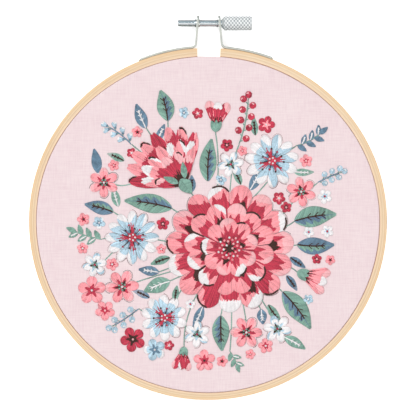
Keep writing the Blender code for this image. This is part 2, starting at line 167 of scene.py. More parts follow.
studio = bpy.data.worlds.new("studio")
studio.use_nodes = True
tree = studio.node_tree
tree.nodes.clear()
way = node(tree, "SeparateXYZ", {0: node(tree, "TexCoord").outputs["Generated"]}).outputs
lean = maths(tree, "ARCTAN2", way["Y"], way["Z"])
cards = ramp(tree, maths(tree, "ADD", maths(tree, "DIVIDE", lean, math.pi), 0.5),
             [(degrees / 180 + 0.5, colour) for degrees, *colour in MIRRORED])
aside = stepped(tree, maths(tree, "ABSOLUTE", way["X"]), 0.85, 1.0)
cards = mix(tree, aside, cards, SIDE_CARD)
soft = node(tree, "Background", {"Color": WHITE_LIGHT, "Strength": SKY_LIGHT})
shiny = node(tree, "Background", {"Color": cards, "Strength": 1.0})
plain = node(tree, "Background", {"Color": WHITE_LIGHT, "Strength": 1.0})
ray = node(tree, "LightPath").outputs
lit = node(tree, "MixShader", {0: ray["Is Glossy Ray"], 1: soft.outputs[0], 2: shiny.outputs[0]})
seen = node(tree, "MixShader", {0: ray["Is Camera Ray"], 1: lit.outputs[0], 2: plain.outputs[0]})
node(tree, "OutputWorld", {"Surface": seen.outputs[0]})
bpy.context.scene.world = studio
print("sky: strength %.2f, %d steps in what metal mirrors" % (SKY_LIGHT, len(MIRRORED)))

# %% Lamps
LAMP_SIZE = 1.1
LAMPS = {  # watts, and the place from which it faces the origin
    "window_lamp": (40.0, Vector((-1.35, 1.6, 2.6))),
    "fill_lamp": (18.5, Vector((0.9, -1.7, 2.5))),
}

for name, (watts, place) in LAMPS.items():
    lamp = linked(name, bpy.data.lights.new(name, "AREA"))
    lamp.data.shape, lamp.data.size, lamp.data.energy = "DISK", LAMP_SIZE, watts
    lamp.location = place
    lamp.rotation_euler = (-place).to_track_quat("-Z", "Y").to_euler()
bpy.context.scene.view_settings.view_transform = "Standard"
print("lamps: %.1f W in all" % sum(watts for watts, place in LAMPS.values()))

# %% [markdown]
# ## The floor
#
# A plain white sheet. It glows a little, so that the faint shadow under the hoop is washed
# out as far as it is in the photo. Metal meets it as a grey one, for the same reason as above.

# %% A new material and a new mesh
def shader_of(name, **inputs):
    """A new material with its Principled shader, whose own sockets are set here."""
    made = bpy.data.materials.new(name)
    made.use_nodes = True
    shader = made.node_tree.nodes["Principled BSDF"]
    for key, value in inputs.items():
        shader.inputs[key.replace("_", " ")].default_value = value
    return made, made.node_tree, shader


def mesh_from(name, bm):
    """A mesh from a bmesh, which is then freed."""
    mesh = bpy.data.meshes.new(name)
    bm.to_mesh(mesh)
    bm.free()
    return mesh


# %% Floor
FLOOR_HALF, FLOOR_DROP = 2.0, 0.1 * MM  # half its side, and how far it lies under the hoop

white_sheet, tree, shader = shader_of("white_sheet", Roughness=0.9)
mirrored = node(tree, "LightPath").outputs["Is Glossy Ray"]
tree.links.new(mix(tree, mirrored, (0.93, 0.93, 0.93, 1), (0.2, 0.22, 0.23, 1)),
               shader.inputs["Base Color"])
shader.inputs["Emission Color"].default_value = WHITE_LIGHT
tree.links.new(maths(tree, "SUBTRACT", 0.6, maths(tree, "MULTIPLY", mirrored, 0.55)),
               shader.inputs["Emission Strength"])
bm = bmesh.new()
bmesh.ops.create_grid(bm, x_segments=1, y_segments=1, size=FLOOR_HALF)
bmesh.ops.translate(bm, verts=bm.verts, vec=(0, 0, -FLOOR_DROP))
floor = linked("floor", mesh_from("floor", bm))
floor.data.materials.append(white_sheet)
print("floor: %.0f m square" % (2 * FLOOR_HALF))

# %% [markdown]
# ## How a piece joins the frame
#
# Every piece that is made here stands for one of the imported solids, rides on the same body,
# and carries its own finishes. Its place is in its mesh and its object stays at the origin,
# as the solids' objects do.

# %% Pieces
def piece(name, mesh, body, nodes, finishes):
    """Turns a mesh into a piece that stands for these nodes."""
    for finish in finishes:
        mesh.materials.append(finish)
    made = linked(name, mesh)
    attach(made, body)
    if nodes:
        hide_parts(*nodes)
    return made


def smoothed(mesh, sharp):
    """The mesh, smooth but for edges over this angle in degrees."""
    mesh.shade_smooth()
    mesh.set_sharp_from_angle(angle=math.radians(sharp))
    return mesh


def triangles(mesh):
    """How many triangles a mesh has."""
    return sum(len(face.vertices) - 2 for face in mesh.polygons)


# %% [markdown]
# ## Bamboo
#
# A hoop is bent from thin bamboo strips glued side by side. Its face shows them edge on:
# fine straight fibres that run right round, a warmer strip on the outside where the skin of
# the cane was, and a pale one inside, whose brightest line along the rounded inner edge is a
# painted highlight. The inner face itself is painted dark red-brown as the shade in the gap
# to the cloth. The fibres have to bend with the ring, so each ring carries an attribute
# called grain, which says for every corner how far it lies along the ring, through the wall
# and up. The node group reads it like straight timber and is shared by both rings, sealed
# and raw.

# %% A node group for an effect
def effect(name, takes, gives):
    """A node group with these inputs and outputs, for an effect that several finishes share."""
    group = bpy.data.node_groups.new(name, "ShaderNodeTree")
    for label, kind in takes:
        group.interface.new_socket(label, in_out="INPUT", socket_type="NodeSocket" + kind)
    for label, kind in gives:
        group.interface.new_socket(label, in_out="OUTPUT", socket_type="NodeSocket" + kind)
    return group, group.nodes.new("NodeGroupInput").outputs, group.nodes.new("NodeGroupOutput").inputs


# %% Bamboo effect
bamboo_strips, takes, gives = effect("bamboo strips", [("Wall", "Float")],
                                     [("Color", "Color"), ("Height", "Float")])
tree = bamboo_strips
grain = node(tree, "Attribute", attribute_name="grain").outputs["Vector"]
through = maths(tree, "DIVIDE", node(tree, "SeparateXYZ", {0: grain}).outputs["Y"], takes["Wall"])
waver = stretched_noise(tree, grain, (14, 120, 120), 1.0)
through = maths(tree, "ADD", through, maths(tree, "MULTIPLY", maths(tree, "SUBTRACT", waver, 0.5), 0.1))
# the first stop is painted shade on the inner face, in the gap to the cloth; the second is a painted
# highlight along the rounded inner edge
strips = ramp(tree, through, (
    (0.00, linear(182, 108, 74)), (0.09, linear(253, 226, 192)), (0.26, linear(245, 217, 183)),
    (0.40, linear(228, 197, 159)), (0.52, linear(249, 225, 193)), (0.66, linear(235, 201, 160)),
    (0.80, linear(246, 215, 174)), (1.00, linear(238, 199, 152))))
fibres = stretched_noise(tree, grain, (26, 2900, 2900), 4.0, 0.6)
threads = stepped(tree, stretched_noise(tree, grain, (110, 4600, 4600), 2.0), 0.6, 0.74)
blotches = stretched_noise(tree, grain, (9, 240, 240), 2.0)
colour = mix(tree, maths(tree, "MULTIPLY", stepped(tree, fibres, 0.42, 0.72), 0.42),
             strips, paint(219, 180, 134))
colour = mix(tree, maths(tree, "MULTIPLY", threads, 0.35), colour, paint(186, 140, 96))
colour = mix(tree, maths(tree, "MULTIPLY", stepped(tree, blotches, 0.45, 0.8), 0.3),
             colour, paint(255, 238, 210))
tree.links.new(colour, gives["Color"])
tree.links.new(fibres, gives["Height"])
print("bamboo strips: %d nodes" % len(tree.nodes))


# %% Bamboo finish
def bumped(tree, height, strength, distance):
    """A normal from a height."""
    made = node(tree, "Bump", {"Height": height, "Strength": strength, "Distance": distance})
    return made.outputs["Normal"]


def bamboo(name, wall, **sockets):
    """One bamboo finish. wall is how thick its ring is."""
    made, tree, shader = shader_of(name, **sockets)
    wood = node(tree, "Group", node_tree=bamboo_strips)
    wood.inputs["Wall"].default_value = wall
    tree.links.new(wood.outputs["Color"], shader.inputs["Base Color"])
    tree.links.new(bumped(tree, wood.outputs["Height"], 0.3, 0.06 * MM), shader.inputs["Normal"])
    return made


# %% [markdown]
# ## The rings
#
# Each ring is one rectangle with worn corners, turned round. The section starts as a grid of
# one face whose corners are bevelled, and spin sweeps its outline. The outer ring stops short
# of a full turn and its cut ends are filled. The screw pulls the upper half a little flat,
# which is done last, point by point, in the same way as in the solids.

# %% Ring sizes
HOOP_Y = -6.75 * MM
RING_RADIUS, RING_DEPTH = 93.1 * MM, 9.0 * MM
OUTER_WALL, INNER_WALL = 3.8 * MM, 4.0 * MM
OUTER_WORN, INNER_WORN = 0.35 * MM, 0.6 * MM  # how round their edges are
SOLID_CLOTH = 1.0 * MM  # how thick the cloth is in the solids
GAP = 0.32 * MM  # between two solids
CLOTH_FACE = 9.5 * MM
RIM_SQUASH, BORE_SQUASH = 90.0 / 93.1, 85.7 / 89.4  # how flat the upper half is pulled
SPLIT_LEFT, SPLIT_RIGHT = -5.7 * MM, 6.5 * MM
JOINT_ANGLE, JOINT_CUT = -2.1, 0.0008  # where the inner ring's glued ends meet, in radians
RING_STEPS = 288
print("outer ring: %.1f mm across, split %.1f mm wide"
      % (2 * RING_RADIUS / MM, (SPLIT_RIGHT - SPLIT_LEFT) / MM))


# %% A section that is turned round
def open_edges(bm):
    """The edges with a face on one side only, or with none."""
    return [edge for edge in bm.edges if edge.is_boundary]


def section(inside, outside, low, high, worn):
    """The outline of a ring's wall, standing on the XZ plane."""
    bm = bmesh.new()
    bmesh.ops.create_grid(bm, x_segments=1, y_segments=1, size=0.5)
    bmesh.ops.scale(bm, vec=(outside - inside, high - low, 1), verts=bm.verts)
    bmesh.ops.rotate(bm, verts=bm.verts, cent=(0, 0, 0), matrix=Matrix.Rotation(math.pi / 2, 3, "X"))
    bmesh.ops.translate(bm, verts=bm.verts, vec=((inside + outside) / 2, 0, (low + high) / 2))
    bmesh.ops.bevel(bm, geom=bm.verts[:] + bm.edges[:], offset=worn, offset_type="OFFSET",
                    affect="VERTICES", segments=5, profile=0.5, material=-1)
    bmesh.ops.delete(bm, geom=bm.faces[:], context="FACES_ONLY")
    return bm


def turn(bm, start, sweep, steps):
    """Spins the outline in a bmesh about Z. A part turn gets its cut ends filled."""
    whole = sweep > math.tau - 1e-9
    bmesh.ops.rotate(bm, verts=bm.verts, cent=(0, 0, 0), matrix=Matrix.Rotation(start, 3, "Z"))
    bmesh.ops.spin(bm, geom=bm.verts[:] + bm.edges[:], cent=(0, 0, 0), axis=(0, 0, 1), angle=sweep,
                   steps=steps, use_merge=whole, use_duplicate=False)
    bmesh.ops.remove_doubles(bm, verts=bm.verts, dist=MERGE)
    if not whole:
        bmesh.ops.holes_fill(bm, edges=open_edges(bm), sides=0)
    bmesh.ops.recalc_face_normals(bm, faces=bm.faces)


# %% Rings
def pull_flat(bm):
    """Flattens the upper half of a round piece a little and moves it to the hoop's middle."""
    for vert in bm.verts:
        x, y, z = vert.co
        if y > 0:
            share = (math.hypot(x, y) - (RING_RADIUS - OUTER_WALL)) / OUTER_WALL
            y *= BORE_SQUASH + (RIM_SQUASH - BORE_SQUASH) * min(max(share, 0.0), 1.0)
        vert.co = (x, y + HOOP_Y, z)


def bamboo_ring(name, outside, wall, height, start, sweep, worn, finish):
    """A whole bamboo ring with its grain."""
    bm = section(outside - wall, outside, 0.0, height, worn)
    turn(bm, start, sweep, RING_STEPS)
    grain = []
    for vert in bm.verts:  # the little extra keeps the first cut end from counting as a whole turn
        angle = (math.atan2(vert.co.y, vert.co.x) - start + 0.001) % math.tau
        grain += [angle * outside, math.hypot(vert.co.x, vert.co.y) - outside + wall, vert.co.z]
    pull_flat(bm)
    mesh = smoothed(mesh_from(name, bm), 50)
    mesh.attributes.new("grain", "FLOAT_VECTOR", "POINT").data.foreach_set("vector", grain)
    print("%s: %d triangles, %.1f mm across" % (name, triangles(mesh), 2 * outside / MM))
    return piece(name, mesh, "hoop", ["ring_" + name.split("_")[0]], [finish])


sealed = bamboo("sealed_bamboo", OUTER_WALL, Roughness=0.42, Coat_Weight=0.12, Coat_Roughness=0.35)
raw = bamboo("raw_bamboo", INNER_WALL, Roughness=0.6)
left_end = math.acos(SPLIT_LEFT / RING_RADIUS)
right_end = math.tau + math.acos(SPLIT_RIGHT / RING_RADIUS)
bamboo_ring("outer_ring", RING_RADIUS, OUTER_WALL, RING_DEPTH, left_end, right_end - left_end,
            OUTER_WORN, sealed)
bamboo_ring("inner_ring", RING_RADIUS - OUTER_WALL - SOLID_CLOTH - 2 * GAP, INNER_WALL,
            CLOTH_FACE - SOLID_CLOTH - GAP, JOINT_ANGLE, math.tau - JOINT_CUT, INNER_WORN,
            raw)

# %% [markdown]
# ## Pink cotton
#
# A plain weave of about 24 threads to the centimetre. Its threads are rarely even: here and
# there one is thicker, a slub, and shows as a long faint streak along or across. The weave is
# two crossed waves that take turns to lie on top, on the cloth's own flat map, so that it
# turns over the rim with the cloth.

# %% Cotton finish
THREAD_PITCH = 0.42 * MM

cotton, tree, shader = shader_of("pink_cotton", Roughness=0.85, Sheen_Weight=0.25, Sheen_Roughness=0.5)
flat_map = node(tree, "UVMap", uv_map="weave").outputs["UV"]
flat_axes = node(tree, "SeparateXYZ", {0: flat_map})
beat = math.pi / THREAD_PITCH
across = maths(tree, "SINE", maths(tree, "MULTIPLY", flat_axes.outputs["X"], beat))
down = maths(tree, "SINE", maths(tree, "MULTIPLY", flat_axes.outputs["Y"], beat))
turns = maths(tree, "MULTIPLY", across, down)  # its sign says which thread is on top
warp_high = maths(tree, "MULTIPLY", maths(tree, "ABSOLUTE", across), stepped(tree, turns, -0.25, 0.5))
weft_high = maths(tree, "MULTIPLY", maths(tree, "ABSOLUTE", down), stepped(tree, turns, 0.25, -0.5))
weave = maths(tree, "MAXIMUM", warp_high, weft_high)
streak_up = stretched_noise(tree, flat_map, (1500, 120, 1), 2.0)
streak_side = stretched_noise(tree, flat_map, (100, 1500, 1), 2.0)
slubs = maths(tree, "ADD", stepped(tree, streak_up, 0.38, 0.78),
              stepped(tree, streak_side, 0.38, 0.78))
half_slubs = maths(tree, "MULTIPLY", slubs, 0.5)
mottle = stretched_noise(tree, flat_map, (60, 60, 1), 3.0)
tone = mix(tree, half_slubs, paint(249, 231, 232), paint(236, 212, 217))
faded = mix(tree, 1.0, tone, paint(252, 249, 250), "MULTIPLY")
tone = mix(tree, stepped(tree, mottle, 0.3, 0.75), tone, faded)
# painted shade: darker where the threads of the weave lie low, between the crossings
between = maths(tree, "MULTIPLY", maths(tree, "SUBTRACT", 1.0, weave), 0.06)
tone = mix(tree, between, tone, paint(214, 180, 188))
tree.links.new(tone, shader.inputs["Base Color"])
lift = maths(tree, "ADD", weave, half_slubs)
tree.links.new(bumped(tree, lift, 0.25, 0.08 * MM), shader.inputs["Normal"])
print("cotton: %.0f threads to the centimetre" % (10 * MM / THREAD_PITCH))

# %% [markdown]
# ## The stretched cloth
#
# The cloth is one thin round. From the front it is a drum skin: flat, rolled over the inner
# ring, and pulled down between the rings to its trimmed edge. The grip of the rings draws it
# into shallow troughs that fade towards the middle, and dense stitching puckers it a little
# around the flowers. A line from the middle to the hem is spun round, the troughs are pressed
# in, and Solidify gives it the thickness of cotton.

# %% Cloth sizes
CLOTH_OUTSIDE = RING_RADIUS - OUTER_WALL - 0.08 * MM
CLOTH_THIN = 0.45 * MM
RIM_ROLL = 0.7 * MM
CLOTH_HEM = 0.3 * MM
CLOTH_STEPS = 200
PULLS = (  # each trough's angle and half width in radians, and its depth in mm
    (0.4, 0.16, 0.13), (1.25, 0.1, 0.1), (1.9, 0.2, 0.12), (2.6, 0.12, 0.16), (3.3, 0.22, 0.1),
    (3.9, 0.12, 0.14), (4.5, 0.16, 0.1), (5.05, 0.1, 0.14), (5.7, 0.2, 0.12),
)
PULL_START, PULL_REACH = 0.72, 0.28  # shares of the radius: where a trough begins, and its length
PUCKER, PUCKER_ACROSS, PUCKER_DOWN = 0.05 * MM, 7 * MM, 9 * MM


# %% Spin the cloth
def hem_line():
    """Points from the middle of the cloth over its rim to its hem."""
    flat = [(CLOTH_OUTSIDE * share, CLOTH_FACE) for share in np.linspace(0.02, 0.98, 40)]
    roll = [(CLOTH_OUTSIDE - RIM_ROLL * (1 - math.cos(a)), CLOTH_FACE - RIM_ROLL * (1 - math.sin(a)))
            for a in np.linspace(math.pi / 2, 0, 7)]
    drop = [(CLOTH_OUTSIDE, height) for height in np.linspace(CLOTH_FACE - RIM_ROLL, CLOTH_HEM, 7)[1:]]
    return flat + roll + drop


bm = bmesh.new()
line = [bm.verts.new((x, 0, z)) for x, z in hem_line()]
for pair in zip(line, line[1:]):
    bm.edges.new(pair)
turn(bm, 0.0, math.tau, CLOTH_STEPS)
inmost = [edge for edge in open_edges(bm) if edge.verts[0].co.xy.length < CLOTH_OUTSIDE / 2]
filled = bmesh.ops.holes_fill(bm, edges=inmost, sides=0)["faces"]
bmesh.ops.poke(bm, faces=filled)
bmesh.ops.recalc_face_normals(bm, faces=bm.faces)
if sum(face.normal.z for face in bm.faces) < 0:
    bmesh.ops.reverse_faces(bm, faces=bm.faces)
print("cloth: %d faces before it is pulled" % len(bm.faces))

# %% Troughs and the flat map of the weave
flat_place = {}
for vert in bm.verts:
    radius, angle = vert.co.xy.length, math.atan2(vert.co.y, vert.co.x)
    unrolled = radius + max(CLOTH_FACE - vert.co.z, 0.0)
    flat_place[vert] = (unrolled * math.cos(angle), unrolled * math.sin(angle))
    fade = math.sin(math.pi * max(0.0, (radius / CLOTH_OUTSIDE - PULL_START) / PULL_REACH))
    if vert.co.z > CLOTH_FACE - 0.4 * MM:  # the face and the top of its roll
        for pull, half, depth in PULLS:
            off = abs((angle - pull + math.pi) % math.tau - math.pi) / half
            if off < 1:
                vert.co.z -= depth * MM * (1 + math.cos(math.pi * off)) / 2 * fade
        vert.co.z += (PUCKER * math.sin(vert.co.x / PUCKER_ACROSS)
                      * math.sin(vert.co.y / PUCKER_DOWN))
weave_map = bm.loops.layers.uv.new("weave")
for face in bm.faces:
    for corner in face.loops:
        corner[weave_map].uv = flat_place[corner.vert]
pull_flat(bm)

# %% Thickness of the cloth
mesh = smoothed(mesh_from("stretched_cloth", bm), 60)
cloth = piece("stretched_cloth", mesh, "hoop", ["cloth"], [cotton])
thick = cloth.modifiers.new("thickness", "SOLIDIFY")
thick.thickness = CLOTH_THIN
thick.offset = -1.0
print("cloth: %d triangles, %.2f mm thick" % (2 * triangles(mesh), CLOTH_THIN / MM))

# %% [markdown]
# ## Zinc plate
#
# The fitting is steel with a thin bluish coat of zinc. The coat is bright but never a mirror:
# its shine changes in soft clouds, and fine draw lines run along the strip. The strips and
# the screw share one group, and each finish gives it a tone and a dullness of its own: the
# rod shines most, the neck and the end of the head are satin, and the keeper and the collar
# are painted greyer, as the shade they lie in beside the lugs. The grooves of the knurl are
# painted darker, as shade.

# %% Zinc effect
zinc_coat, takes, gives = effect(
    "zinc coat", [("Along", "Vector"), ("Metal", "Color"), ("Dullness", "Float")],
    [("Color", "Color"), ("Roughness", "Float"), ("Height", "Float")])
tree = zinc_coat
place = node(tree, "TexCoord").outputs["Object"]
clouds = stretched_noise(tree, place, (420, 420, 420), 3.0)
drawn = node(tree, "VectorMath", {0: place, 1: takes["Along"]}, operation="MULTIPLY").outputs["Vector"]
lines = node(tree, "TexNoise", {"Vector": drawn, "Scale": 1.0, "Detail": 3.0}).outputs["Fac"]
cloudy = mix(tree, stepped(tree, clouds, 0.3, 0.7), (0.86, 0.86, 0.87, 1), (1, 1, 1, 1))
tree.links.new(mix(tree, 1.0, takes["Metal"], cloudy, "MULTIPLY"), gives["Color"])
uneven = maths(tree, "ADD", 0.6, maths(tree, "MULTIPLY", clouds, 0.8))
tree.links.new(maths(tree, "MULTIPLY", takes["Dullness"], uneven), gives["Roughness"])
tree.links.new(lines, gives["Height"])
print("zinc coat: %d nodes" % len(tree.nodes))

# %% Zinc finishes
SCREW_Y, MID_DEPTH = HOOP_Y + 102.96 * MM, RING_DEPTH / 2
HEAD_RADIUS, KNURL_DEPTH = 3.85 * MM, 0.42 * MM


def zinc(name, along, metal, dullness, strength, cuts=None, metallic=1.0):
    """A zinc finish whose draw lines run along one axis. cuts are two radii from the screw's
    axis: it is darkened below the first and as it was above the second."""
    made, tree, shader = shader_of(name, Metallic=metallic)
    coat = node(tree, "Group", node_tree=zinc_coat)
    coat.inputs["Along"].default_value = along
    coat.inputs["Metal"].default_value = paint(*metal)
    coat.inputs["Dullness"].default_value = dullness
    colour = coat.outputs["Color"]
    if cuts:
        place, axis = node(tree, "TexCoord").outputs["Object"], (0, SCREW_Y, MID_DEPTH)
        off = node(tree, "VectorMath", {0: place, 1: axis}, operation="SUBTRACT").outputs["Vector"]
        off = node(tree, "VectorMath", {0: off, 1: (0, 1, 1)}, operation="MULTIPLY").outputs["Vector"]
        depth = node(tree, "VectorMath", {0: off}, operation="LENGTH").outputs["Value"]
        # painted shade: the metal is darker where it lies deep in the knurl's grooves
        colour = mix(tree, stepped(tree, depth, *cuts), paint(144, 152, 155), colour)
    tree.links.new(colour, shader.inputs["Base Color"])
    tree.links.new(coat.outputs["Roughness"], shader.inputs["Roughness"])
    tree.links.new(bumped(tree, coat.outputs["Height"], strength, 0.02 * MM), shader.inputs["Normal"])
    return made


EVEN = (900, 900, 900)  # no draw lines, cells for each metre
zinc_strip = zinc("zinc_strip", (900, 900, 5000), (210, 212, 204), 0.32, 0.35, metallic=0.65)
zinc_screw = zinc("zinc_screw", (5000, 900, 900), (242, 246, 247), 0.17, 0.2)
zinc_face = zinc("zinc_face", EVEN, (236, 240, 240), 0.4, 0.2, metallic=0.25)
zinc_neck = zinc("zinc_neck", EVEN, (240, 244, 244), 0.3, 0.2, metallic=0.35)
# painted shade: the keeper and the collar get a greyer tone for the shade beside the lugs
zinc_painted_shade = zinc("zinc_painted_shade", EVEN, (184, 192, 194), 0.3, 0.2)
# its cuts radii give the painted shade in the knurl's grooves
zinc_knurl = zinc("zinc_knurl", EVEN, (253, 255, 255), 0.45, 0.2,
                  (HEAD_RADIUS - 0.8 * KNURL_DEPTH, HEAD_RADIUS - 0.32 * KNURL_DEPTH), 0.1)
print("zinc finishes: strip, rod, end face, neck, ring and knurl")

# %% [markdown]
# ## The two strips
#
# Each strip is cut from sheet steel and bent three times: a claw bites into the wood, a foot
# lies along the ring, and the lug stands up and is drilled for the screw. A path in plan is
# raised into a ribbon, its two upper corners are rounded, and Solidify makes it a little more
# than 1 mm thick. The bore and the left lug's collar are Booleans, and Bevel breaks all the
# sharp edges as tumbling does.

# %% Strip sizes
STRIP_THICK, STRIP_WIDTH = 1.12 * MM, 7.0 * MM
LUG_TOP, LUG_BEND, LUG_ROUND = 106.8 * MM, 2.6 * MM, 2.0 * MM
CLAW_DEPTH, CLAW_TAPER = 1.3 * MM, 0.5
ROD_RADIUS, COLLAR_RADIUS = 1.69 * MM, 2.0 * MM
BROKEN_EDGE = 0.09 * MM
ROUND_STEPS = 40
STRIP_COLUMNS = ("claw", "foot", "top", "collar")  # places along X in mm, the collar's two ends
STRIPS = {
    "strip_left": (-35.6, -6.2, -5.1, (-6.9, -4.3)),
    "strip_right": (33.3, 7.1, 5.85, None),
}
print("strips: %.2f mm thick, %.0f mm wide" % (STRIP_THICK / MM, STRIP_WIDTH / MM))


# %% The path of a strip
def rows(columns, table):
    """Each row of a table with its name and its sizes by column."""
    for name, values in table.items():
        yield name, dict(zip(columns, values))


def on_rim(x, standoff):
    """The point above this x, this far outside the outer ring's upper edge."""
    radius = RING_RADIUS + standoff
    return Vector((x, RIM_SQUASH * math.sqrt(radius * radius - x * x), 0))


def into_wood(x):
    """The way straight into the outer ring above this x."""
    rim = on_rim(x, 0)
    return -Vector((rim.x, rim.y / RIM_SQUASH ** 2, 0)).normalized()


def strip_path(sizes):
    """The middle line of a strip in plan: claw, foot, bend and lug."""
    side = 1 if sizes["claw"] > 0 else -1
    claw_x, bend_x = sizes["claw"] * MM, sizes["foot"] * MM + side * LUG_BEND
    standoff = GAP / 2 + STRIP_THICK / 2
    heel = on_rim(claw_x, standoff)
    path = [on_rim(claw_x, 0) + into_wood(claw_x) * CLAW_DEPTH, heel + into_wood(claw_x) * 0.3 * MM]
    path += [on_rim(claw_x + (bend_x - claw_x) * share, standoff) for share in np.linspace(0.02, 1, 40)]
    centre = path[-1] + Vector((0, LUG_BEND, 0))
    for angle in np.radians((15, 30, 45, 60, 75, 85)):
        path.append(centre - LUG_BEND * Vector((side * math.sin(angle), math.cos(angle), 0)))
    lug_end = Vector((sizes["top"] * MM, LUG_TOP, 0))
    return path + [path[-1].lerp(lug_end, 0.5), lug_end]


# %% Applied modifiers and round cutters
def settled(name, mesh, *steps):
    """The mesh with modifiers applied. Each step is a modifier kind and its settings."""
    trial = linked(name, mesh)
    for kind, settings in steps:
        modifier = trial.modifiers.new(kind, kind)
        for key, value in settings.items():
            setattr(modifier, key, value)
    seen = trial.evaluated_get(bpy.context.evaluated_depsgraph_get())
    made = bpy.data.meshes.new_from_object(seen)
    bpy.data.objects.remove(trial)
    return smoothed(made, 40)


def drill(name, low, high, radius):
    """A round cutter or collar along the screw's axis."""
    middle = Matrix.Translation(((low + high) / 2, SCREW_Y, MID_DEPTH))
    bm = bmesh.new()
    bmesh.ops.create_cone(bm, cap_ends=True, segments=ROUND_STEPS, radius1=radius, radius2=radius,
                          depth=high - low, matrix=middle @ Matrix.Rotation(math.pi / 2, 4, "Y"))
    return linked(name, mesh_from(name, bm))


def points_in(made):
    """The points among what an operator made."""
    return [item for item in made if isinstance(item, bmesh.types.BMVert)]


# %% Strips
for name, sizes in rows(STRIP_COLUMNS, STRIPS):
    bm = bmesh.new()
    lowest = Vector((0, HOOP_Y, MID_DEPTH - STRIP_WIDTH / 2))
    line = [bm.verts.new(lowest + point) for point in strip_path(sizes)]
    edges = [bm.edges.new(pair) for pair in zip(line, line[1:])]
    raised = bmesh.ops.extrude_edge_only(bm, edges=edges)["geom"]
    bmesh.ops.translate(bm, verts=points_in(raised), vec=(0, 0, STRIP_WIDTH))
    lug_corners = [vert for vert in bm.verts if vert.co.y > HOOP_Y + LUG_TOP - MERGE]
    for vert in bm.verts:
        if (vert.co - line[0].co).xy.length < MERGE:
            vert.co.z = MID_DEPTH + (vert.co.z - MID_DEPTH) * CLAW_TAPER
    bmesh.ops.bevel(bm, geom=lug_corners, offset=LUG_ROUND, offset_type="OFFSET",
                    affect="VERTICES", segments=7, profile=0.5, material=-1)
    bmesh.ops.recalc_face_normals(bm, faces=bm.faces)
    tools = []
    steps = [("SOLIDIFY", {"thickness": STRIP_THICK, "offset": 0.0, "use_even_offset": True})]
    if sizes["collar"]:
        low, high = (end * MM for end in sizes["collar"])
        tools.append(drill("collar", low, high, COLLAR_RADIUS))
        steps.append(("BOOLEAN", {"object": tools[-1], "operation": "UNION", "solver": "EXACT"}))
    lug_x = sizes["top"] * MM
    tools.append(drill("bore", lug_x - 4 * MM, lug_x + 4 * MM, ROD_RADIUS + GAP / 3))
    steps.append(("BOOLEAN", {"object": tools[-1], "operation": "DIFFERENCE", "solver": "EXACT"}))
    steps.append(("BEVEL", {"width": BROKEN_EDGE, "segments": 2, "limit_method": "ANGLE",
                            "angle_limit": math.radians(50), "profile": 0.5}))
    mesh = settled(name, mesh_from(name, bm), *steps)
    for tool in tools:
        bpy.data.objects.remove(tool)
    mesh.name = "bent_" + name
    # the collar's faces take the finish that is painted greyer as shade beside the lug
    for face in mesh.polygons:  # what stands out from the lug is the collar, in its greyer finish
        off = face.center - Vector((lug_x, SCREW_Y, MID_DEPTH))
        stands_out = abs(off.x) > 0.7 * STRIP_THICK and off.yz.length < COLLAR_RADIUS + MERGE
        face.material_index = int(stands_out)
    piece("bent_" + name, mesh, "hoop", [name], [zinc_strip, zinc_painted_shade])
    print("bent_%s: %d triangles" % (name, triangles(mesh)))

# %% [markdown]
# ## The thumb screw
#
# One turned piece: a threaded rod, a keeper ring that is peened on, and a head with diamond
# knurling for the fingers. A real thread is a small groove that is spun with a climb, so spin
# gets a dvec of one pitch a turn. The knurl is a sleeve whose points are lowered wherever two
# sets of slanting cuts pass, and an edge is drawn along each cut, so that the diamonds have
# crisp flanks with few faces.

# %% Screw sizes
ROD_START, THREAD_END, CREST = -15.65 * MM, 3.85 * MM, ROD_RADIUS
THREAD_STEP, THREAD_DEPTH = 0.5 * MM, 0.14 * MM
CORE = CREST - THREAD_DEPTH
KEEPER_START, KEEPER_END, KEEPER_RADIUS = 4.5 * MM, 5.25 * MM, 1.95 * MM
NECK_START, KNURL_START, KNURL_END, HEAD_END = 7.15 * MM, 8.5 * MM, 22.5 * MM, 23.0 * MM
DIAMONDS_ROUND, DIAMONDS_ALONG = 10, 8
KNURL_FLOOR = HEAD_RADIUS - KNURL_DEPTH
FINE = 0.12 * MM  # a small chamfer
THREAD_CORNERS, TURNED_CORNERS = 22, 56  # in one turn
SCREW_FINISHES = (zinc_screw, zinc_knurl, zinc_face, zinc_neck, zinc_painted_shade)
print("screw: %.1f mm long, thread of %.1f mm a turn"
      % ((HEAD_END - ROD_START) / MM, THREAD_STEP / MM))


# %% Threaded rod
def spun_on_x(bm, profile, steps, turns=1.0, climb=0.0):
    """Spins a line of (along, radius) about the X axis. climb moves it along for each turn."""
    line = [bm.verts.new((along, radius, 0)) for along, radius in profile]
    edges = [bm.edges.new(pair) for pair in zip(line, line[1:])]
    whole = turns == 1.0 and not climb
    bmesh.ops.spin(bm, geom=line + edges, cent=(0, 0, 0), axis=(1, 0, 0), angle=math.tau * turns,
                   dvec=(climb * turns / steps, 0, 0), steps=steps, use_merge=whole,
                   use_duplicate=False)
    bmesh.ops.remove_doubles(bm, verts=bm.verts, dist=MERGE)


